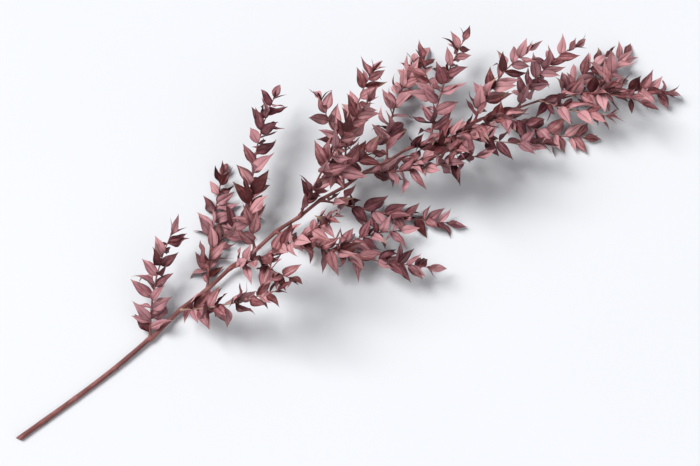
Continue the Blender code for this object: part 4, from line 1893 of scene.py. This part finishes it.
@dataclass(frozen=True)
class LeafFinish:
    """A dried leaf soaked in rose brown dye: satin, uneven, with a dark midrib and fine lengthwise veins.

    The dye and its plum kind each run from deep over middle to light. A span is where a soft step goes from 0
    to 1, and a share is how much of a colour is laid over what is below it. Painted light is laid in as well:
    lengthwise bands of painted sheen, painted shade towards the margins, and painted shade on the underside.
    """

    dye: tuple[Colour, ...] = ((0.078, 0.0110, 0.0115), (0.320, 0.108, 0.114), (0.585, 0.285, 0.298))
    plum: tuple[Colour, ...] = ((0.058, 0.0095, 0.0145), (0.255, 0.086, 0.101), (0.490, 0.231, 0.254))
    # Painted shade: the dark colour laid over a blade's underside, as if it lay in shade.
    back: Colour = (0.070, 0.0140, 0.0170)
    vein: Colour = (0.054, 0.0100, 0.0120)
    straw: Colour = (0.360, 0.235, 0.155)
    mottle: Noise = Noise(240.0, 3.0, 0.6)
    grain: Noise = Noise(2800.0)
    streak: Noise = Noise(1700.0, 2.0, 0.6, squeeze=(1.0, 0.11, 1.0))
    # Lengthwise bands. In the colour they are painted sheen: lighter and darker stripes that stand in for
    # highlights. In the relief they are a real ripple.
    sheen_and_ripple_band: Noise = Noise(430.0, 1.0, squeeze=(1.0, 0.16, 1.0))
    wander: Noise = Noise(90.0, 1.0)
    patch: Noise = Noise(13.0, 1.0)
    patch_span: Span = (0.47, 0.64)
    midrib_span: Span = (0.02, 0.12)
    midrib_wander: float = 0.09
    midrib_share: float = 0.62
    vein_count: float = 5.5
    vein_wander: float = 2.0
    vein_span: Span = (0.70, 1.0)
    vein_breaks: Span = (0.72, 1.20)
    vein_share: float = 0.34
    margin_span: Span = (0.84, 0.99)
    margin_share: float = 0.30
    shade_weights: Weights = (0.74, 0.34, 0.26, 0.52)
    side_span: Span = (0.35, 1.0)
    side_shade: float = 0.16
    shade_start: float = 0.39
    shade_span: Span = (0.10, 0.76)
    foot_span: Span = (0.0, 0.24)
    foot_share: float = 0.45
    back_shade_share: float = 0.70
    dry_span: Span = (0.55, 0.98)
    dry_play: float = 0.4
    roughness: float = 0.34
    roughness_weights: Weights = (0.22, 0.06, 0.14)
    relief: float = 0.00022
    relief_weights: Weights = (1.8, 0.45, 0.25, 0.45, 0.20)
    relief_strength: float = 0.55
    sheen: float = 0.02
    shine: float = 0.26

    def material(self) -> bpy.types.Material:
        """Builds the finish."""
        tree = FinishTree("dyed_leaf_finish")
        u, v = tree.attribute("blade_u"), tree.attribute("blade_v")
        tone, straw, under = (tree.attribute(name) for name in ("tone", "straw", "under"))
        blade, place = tree.attribute("blade_place", "Vector"), tree.place()
        mottle, grain = tree.noise(place, self.mottle), tree.noise(place, self.grain)
        streak, sheen_and_ripple_band = tree.noise(blade, self.streak), tree.noise(blade, self.sheen_and_ripple_band)
        wander = tree.noise(blade, self.wander) - 0.5
        size = tree.size_of(v)
        midrib = 1.0 - tree.smooth(tree.size_of(v + wander * self.midrib_wander), *self.midrib_span)
        waves = tree.cosine(v * (math.tau * self.vein_count) + wander * self.vein_wander)
        margin = tree.smooth(size, *self.margin_span)
        whole = tree.smooth(streak + mottle, *self.vein_breaks)
        veins = tree.smooth(waves, *self.vein_span) * (1.0 - margin) * whole
        # How light the dye is. The leaf's tone, mottle and streaks are the dye's own unevenness. The band
        # adds painted sheen as lighter and darker lengthwise stripes.
        blend = tree.weighed((tone, mottle, streak, sheen_and_ripple_band), self.shade_weights)
        # Painted shade: the blade darkens from its middle towards its margins, which leaves a lighter middle
        # as if lit.
        side = tree.smooth(size, *self.side_span) * self.side_shade
        shade = tree.smooth(blend - side - self.shade_start, *self.shade_span)
        plum = tree.smooth(tree.noise(place, self.patch), *self.patch_span)
        deep, middle, light = (tree.mix(plum, one, other) for one, other in zip(self.dye, self.plum))
        colour = tree.mix(tree.least(shade * 2.0, 1.0), deep, middle)
        colour = tree.mix(tree.most(shade * 2.0 - 1.0, 0.0), colour, light)
        foot = 1.0 - tree.smooth(u, *self.foot_span)
        dry = straw * tree.smooth(u + (mottle - 0.5) * self.dry_play, *self.dry_span)
        for share, layer in (
            (veins * self.vein_share, self.vein), (midrib * self.midrib_share, self.vein),
            (margin * self.margin_share, self.vein), (foot * self.foot_share, deep),
            (under * self.back_shade_share, self.back), (dry, self.straw),
        # Painted shade: the underside is darkened towards the back colour.
        ):
            colour = tree.mix(share, colour, layer)
        roughness = tree.weighed((mottle, veins, under), self.roughness_weights, self.roughness)
        height = tree.weighed((sheen_and_ripple_band, veins, midrib, streak, grain), self.relief_weights)
        constants = {"Sheen Weight": self.sheen, "Specular IOR Level": self.shine}
        return tree.finish(colour, roughness, height, self.relief, self.relief_strength, constants)


@dataclass(frozen=True)
class BarkFinish:
    """Smooth woody bark in dark wine dye, streaked and scarred at its nodes, and bare wood at the cut.

    Spans and shares are meant as in the leaf's finish. The strands' and the rim's spans are distances from
    the middle of the cut, in metres.
    """

    cut_centre: Vector
    dark: Colour = (0.092, 0.021, 0.022)
    middle: Colour = (0.232, 0.054, 0.056)
    worn: Colour = (0.325, 0.112, 0.110)
    wood: Colour = (0.430, 0.265, 0.175)
    straw: Colour = (0.500, 0.375, 0.285)
    strand: Colour = (0.200, 0.085, 0.062)
    streak: Noise = Noise(2600.0, 3.0, 0.6, squeeze=(1.0, 1.0, 0.05))
    streak_span: Span = (0.32, 0.70)
    blotch: Noise = Noise(150.0, 3.0, 0.6, squeeze=(1.0, 1.0, 0.35))
    blotch_span: Span = (0.46, 0.66)
    blotch_share: float = 0.62
    grain: Noise = Noise(3200.0)
    scar_share: float = 0.45
    pale_span: Span = (0.55, 1.15)
    strand_scale: float = 2600.0
    cell_span: Span = (0.16, 0.42)
    strand_span: Span = (0.0002, 0.0018)
    strand_share: float = 0.8
    rim_span: Span = (0.0019, 0.0026)
    rim_share: float = 0.75
    roughness: float = 0.46
    roughness_weights: Weights = (0.22, 0.2)
    relief: float = 0.00020
    relief_weights: Weights = (0.7, 0.2, 0.3)
    relief_strength: float = 0.6
    shine: float = 0.3

    def material(self) -> bpy.types.Material:
        """Builds the finish."""
        tree = FinishTree("dyed_bark_finish")
        bark, place = tree.attribute("bark_place", "Vector"), tree.place()
        scar, pale, cut = (tree.attribute(name) for name in ("scar", "pale", "cut"))
        streak, blotch = tree.noise(bark, self.streak), tree.noise(bark, self.blotch)
        grain = tree.noise(place, self.grain)
        colour = tree.mix(tree.smooth(streak, *self.streak_span), self.dark, self.middle)
        colour = tree.mix(tree.smooth(blotch, *self.blotch_span) * self.blotch_share, colour, self.worn)
        colour = tree.mix(scar * self.scar_share, colour, self.worn)
        colour = tree.mix(pale * tree.smooth(streak + blotch, *self.pale_span), colour, self.straw)
        off = tree.wire(
            "ShaderNodeVectorMath", {"operation": "LENGTH"}, {0: place - self.cut_centre}, "Value"
        )
        cells = tree.wire("ShaderNodeTexVoronoi", None, {"Vector": place, "Scale": self.strand_scale})
        strands = (1.0 - tree.smooth(cells, *self.cell_span)) * tree.smooth(off, *self.strand_span)
        wood = tree.mix(strands * self.strand_share, self.wood, self.strand)
        wood = tree.mix(tree.smooth(off, *self.rim_span) * self.rim_share, wood, self.middle)
        colour = tree.mix(cut, colour, wood)
        roughness = tree.weighed((streak, cut), self.roughness_weights, self.roughness)
        height = tree.weighed((streak, grain, scar), self.relief_weights)
        constants = {"Specular IOR Level": self.shine}
        return tree.finish(colour, roughness, height, self.relief, self.relief_strength, constants)


@dataclass(frozen=True)
class FloorFinish:
    """A plain pale matt table."""

    pale: Colour = (0.700, 0.712, 0.735)
    paler: Colour = (0.730, 0.742, 0.765)
    cloud: Noise = Noise(3.0)
    grain: Noise = Noise(900.0)
    roughness: float = 0.62
    roughness_play: float = 0.06
    relief: float = 0.00005
    relief_strength: float = 0.2

    def material(self) -> bpy.types.Material:
        """Builds the finish."""
        tree = FinishTree("pale_floor_finish")
        cloud, grain = tree.noise(tree.place(), self.cloud), tree.noise(tree.place(), self.grain)
        colour = tree.mix(cloud, self.pale, self.paler)
        roughness = self.roughness + cloud * self.roughness_play
        return tree.finish(colour, roughness, grain, self.relief, self.relief_strength)


@dataclass(frozen=True)
class Lamp:
    """A broad soft light from far off, which lights the whole table alike.

    Aside, ahead and height give the way that it comes from: to the camera's right, towards the top of the
    picture, and up. Angle is how wide it looks, and energy its watts for each square metre that faces it.
    """

    name: str
    aside: float
    ahead: float
    height: float
    angle: float
    energy: float

    def hang(self, right: Vector) -> None:
        """Hangs the lamp, for a camera with its right that way."""
        place = right * self.aside + UP.cross(right) * self.ahead + UP * self.height
        data = bpy.data.lights.new(self.name, "SUN")
        data.angle = self.angle
        data.energy = self.energy
        lamp = bpy.data.objects.new(self.name, data)
        bpy.context.scene.collection.objects.link(lamp)
        lamp.location = place
        lamp.rotation_euler = place.to_track_quat("Z", "Y").to_euler()


@dataclass
class Studio:
    """The pale floor, the soft lights and the camera that looks down on the stem."""

    azimuth: float = math.radians(-35)
    elevation: float = math.radians(70)
    lens: float = 85.0
    sensor: float = 36.0
    aspect: float = 700 / 466
    fill: float = 0.955
    first_distance: float = 1.0
    rounds: int = 8
    farthest: float = 60.0
    floor_size: float = 30.0
    floor_segments: int = 4
    lamps: tuple[Lamp, ...] = (
        Lamp("key", -0.55, 0.22, 0.80, math.radians(34), 3.55),
        Lamp("fill", 0.60, -0.55, 0.58, math.radians(70), 0.70),
    )
    sky: Colour = (0.93, 0.95, 1.0)
    sky_strength: float = 0.28

    def axes(self) -> tuple[Vector, Vector, Vector]:
        """The camera's right, its up and the way from the stem to it."""
        right = Vector((math.cos(self.azimuth), math.sin(self.azimuth), 0.0))
        level = Vector((math.sin(self.azimuth), -math.cos(self.azimuth), 0.0))
        back = level * math.cos(self.elevation) + UP * math.sin(self.elevation)
        return right, back.cross(right), back

    def camera(self, points: list[Vector]) -> None:
        """Sets the camera so that every point is just inside its frame.

        Args:
            points: The points to take in.
        """
        right, up, back = self.axes()
        wide = self.sensor / 2 / self.lens * self.fill
        seen = [Vector((point.dot(right), point.dot(up), point.dot(back))) for point in points]
        middle = Vector((0.0, 0.0, 0.0))
        distance = self.first_distance
        for _ in range(self.rounds):
            spans = [
                [(point - middle)[k] / (distance - (point - middle)[2]) for point in seen] for k in (0, 1)
            ]
            for k in (0, 1):
                middle[k] += (min(spans[k]) + max(spans[k])) / 2 * distance
            distance *= max(
                (max(spans[0]) - min(spans[0])) / 2 / wide,
                (max(spans[1]) - min(spans[1])) / 2 / wide * self.aspect,
            )
        data = bpy.data.cameras.new("camera")
        data.lens = self.lens
        data.sensor_width = self.sensor
        data.clip_end = self.farthest
        camera = bpy.data.objects.new("camera", data)
        bpy.context.scene.collection.objects.link(camera)
        turn = Matrix((right, up, back)).transposed()
        place = right * middle[0] + up * middle[1] + back * (middle[2] + distance)
        camera.matrix_world = Matrix.Translation(place) @ turn.to_4x4()
        bpy.context.scene.camera = camera

    def floor(self) -> None:
        """The pale table that the stem lies on."""
        shape = bmesh.new()
        parts = self.floor_segments
        bmesh.ops.create_grid(shape, x_segments=parts, y_segments=parts, size=self.floor_size / 2)
        mesh = bpy.data.meshes.new("floor")
        shape.to_mesh(mesh)
        shape.free()
        mesh.materials.append(FloorFinish().material())
        floor = bpy.data.objects.new("floor", mesh)
        bpy.context.scene.collection.objects.link(floor)
        floor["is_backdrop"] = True

    def sky_light(self) -> None:
        """Even pale light from all round."""
        world = bpy.data.worlds.new("pale_sky")
        world.use_nodes = True
        background = world.node_tree.nodes["Background"]
        background.inputs["Color"].default_value = (*self.sky, 1.0)
        background.inputs["Strength"].default_value = self.sky_strength
        bpy.context.scene.world = world

    def build(self, points: list[Vector]) -> None:
        """Sets the whole stage round the stem's points."""
        self.floor()
        self.sky_light()
        for lamp in self.lamps:
            lamp.hang(self.axes()[0])
        self.camera(points)
        bpy.context.scene.view_settings.view_transform = "Standard"


def main() -> None:
    """Grows, dresses and lights the stem, and reports each piece."""
    logging.basicConfig(level=logging.INFO, format="%(message)s", stream=sys.stdout)
    stem, shoots = Growth().grow()
    shift = -footprint_centre(stem, shoots)
    main_spray = MainSpray(stem, 0, shift)
    finishes = {
        Slot.LEAF: LeafFinish().material(),
        Slot.BARK: BarkFinish(main_spray.cut_centre()).material(),
    }
    twigs, leaves = TwigTree(), LeafTree()
    sprays = [main_spray] + [
        Spray(shoot, number + 1, shift, stem.radius(PLACES[number])) for number, shoot in enumerate(shoots)
    ]
    for spray in sprays:
        spray.draw_blades()
    Crown().settle(sprays)
    for spray in sprays:
        spray.pieces(twigs, leaves, finishes)
    points = [vertex.co.copy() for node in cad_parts.values() for vertex in node.data.vertices]
    Studio().build(points)
    boxes = {"cad": CAD_BOX, "visual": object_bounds()}
    json.dumps({name: [list(corner) for corner in box] for name, box in boxes.items()})


if __name__ == "__main__":
    main()
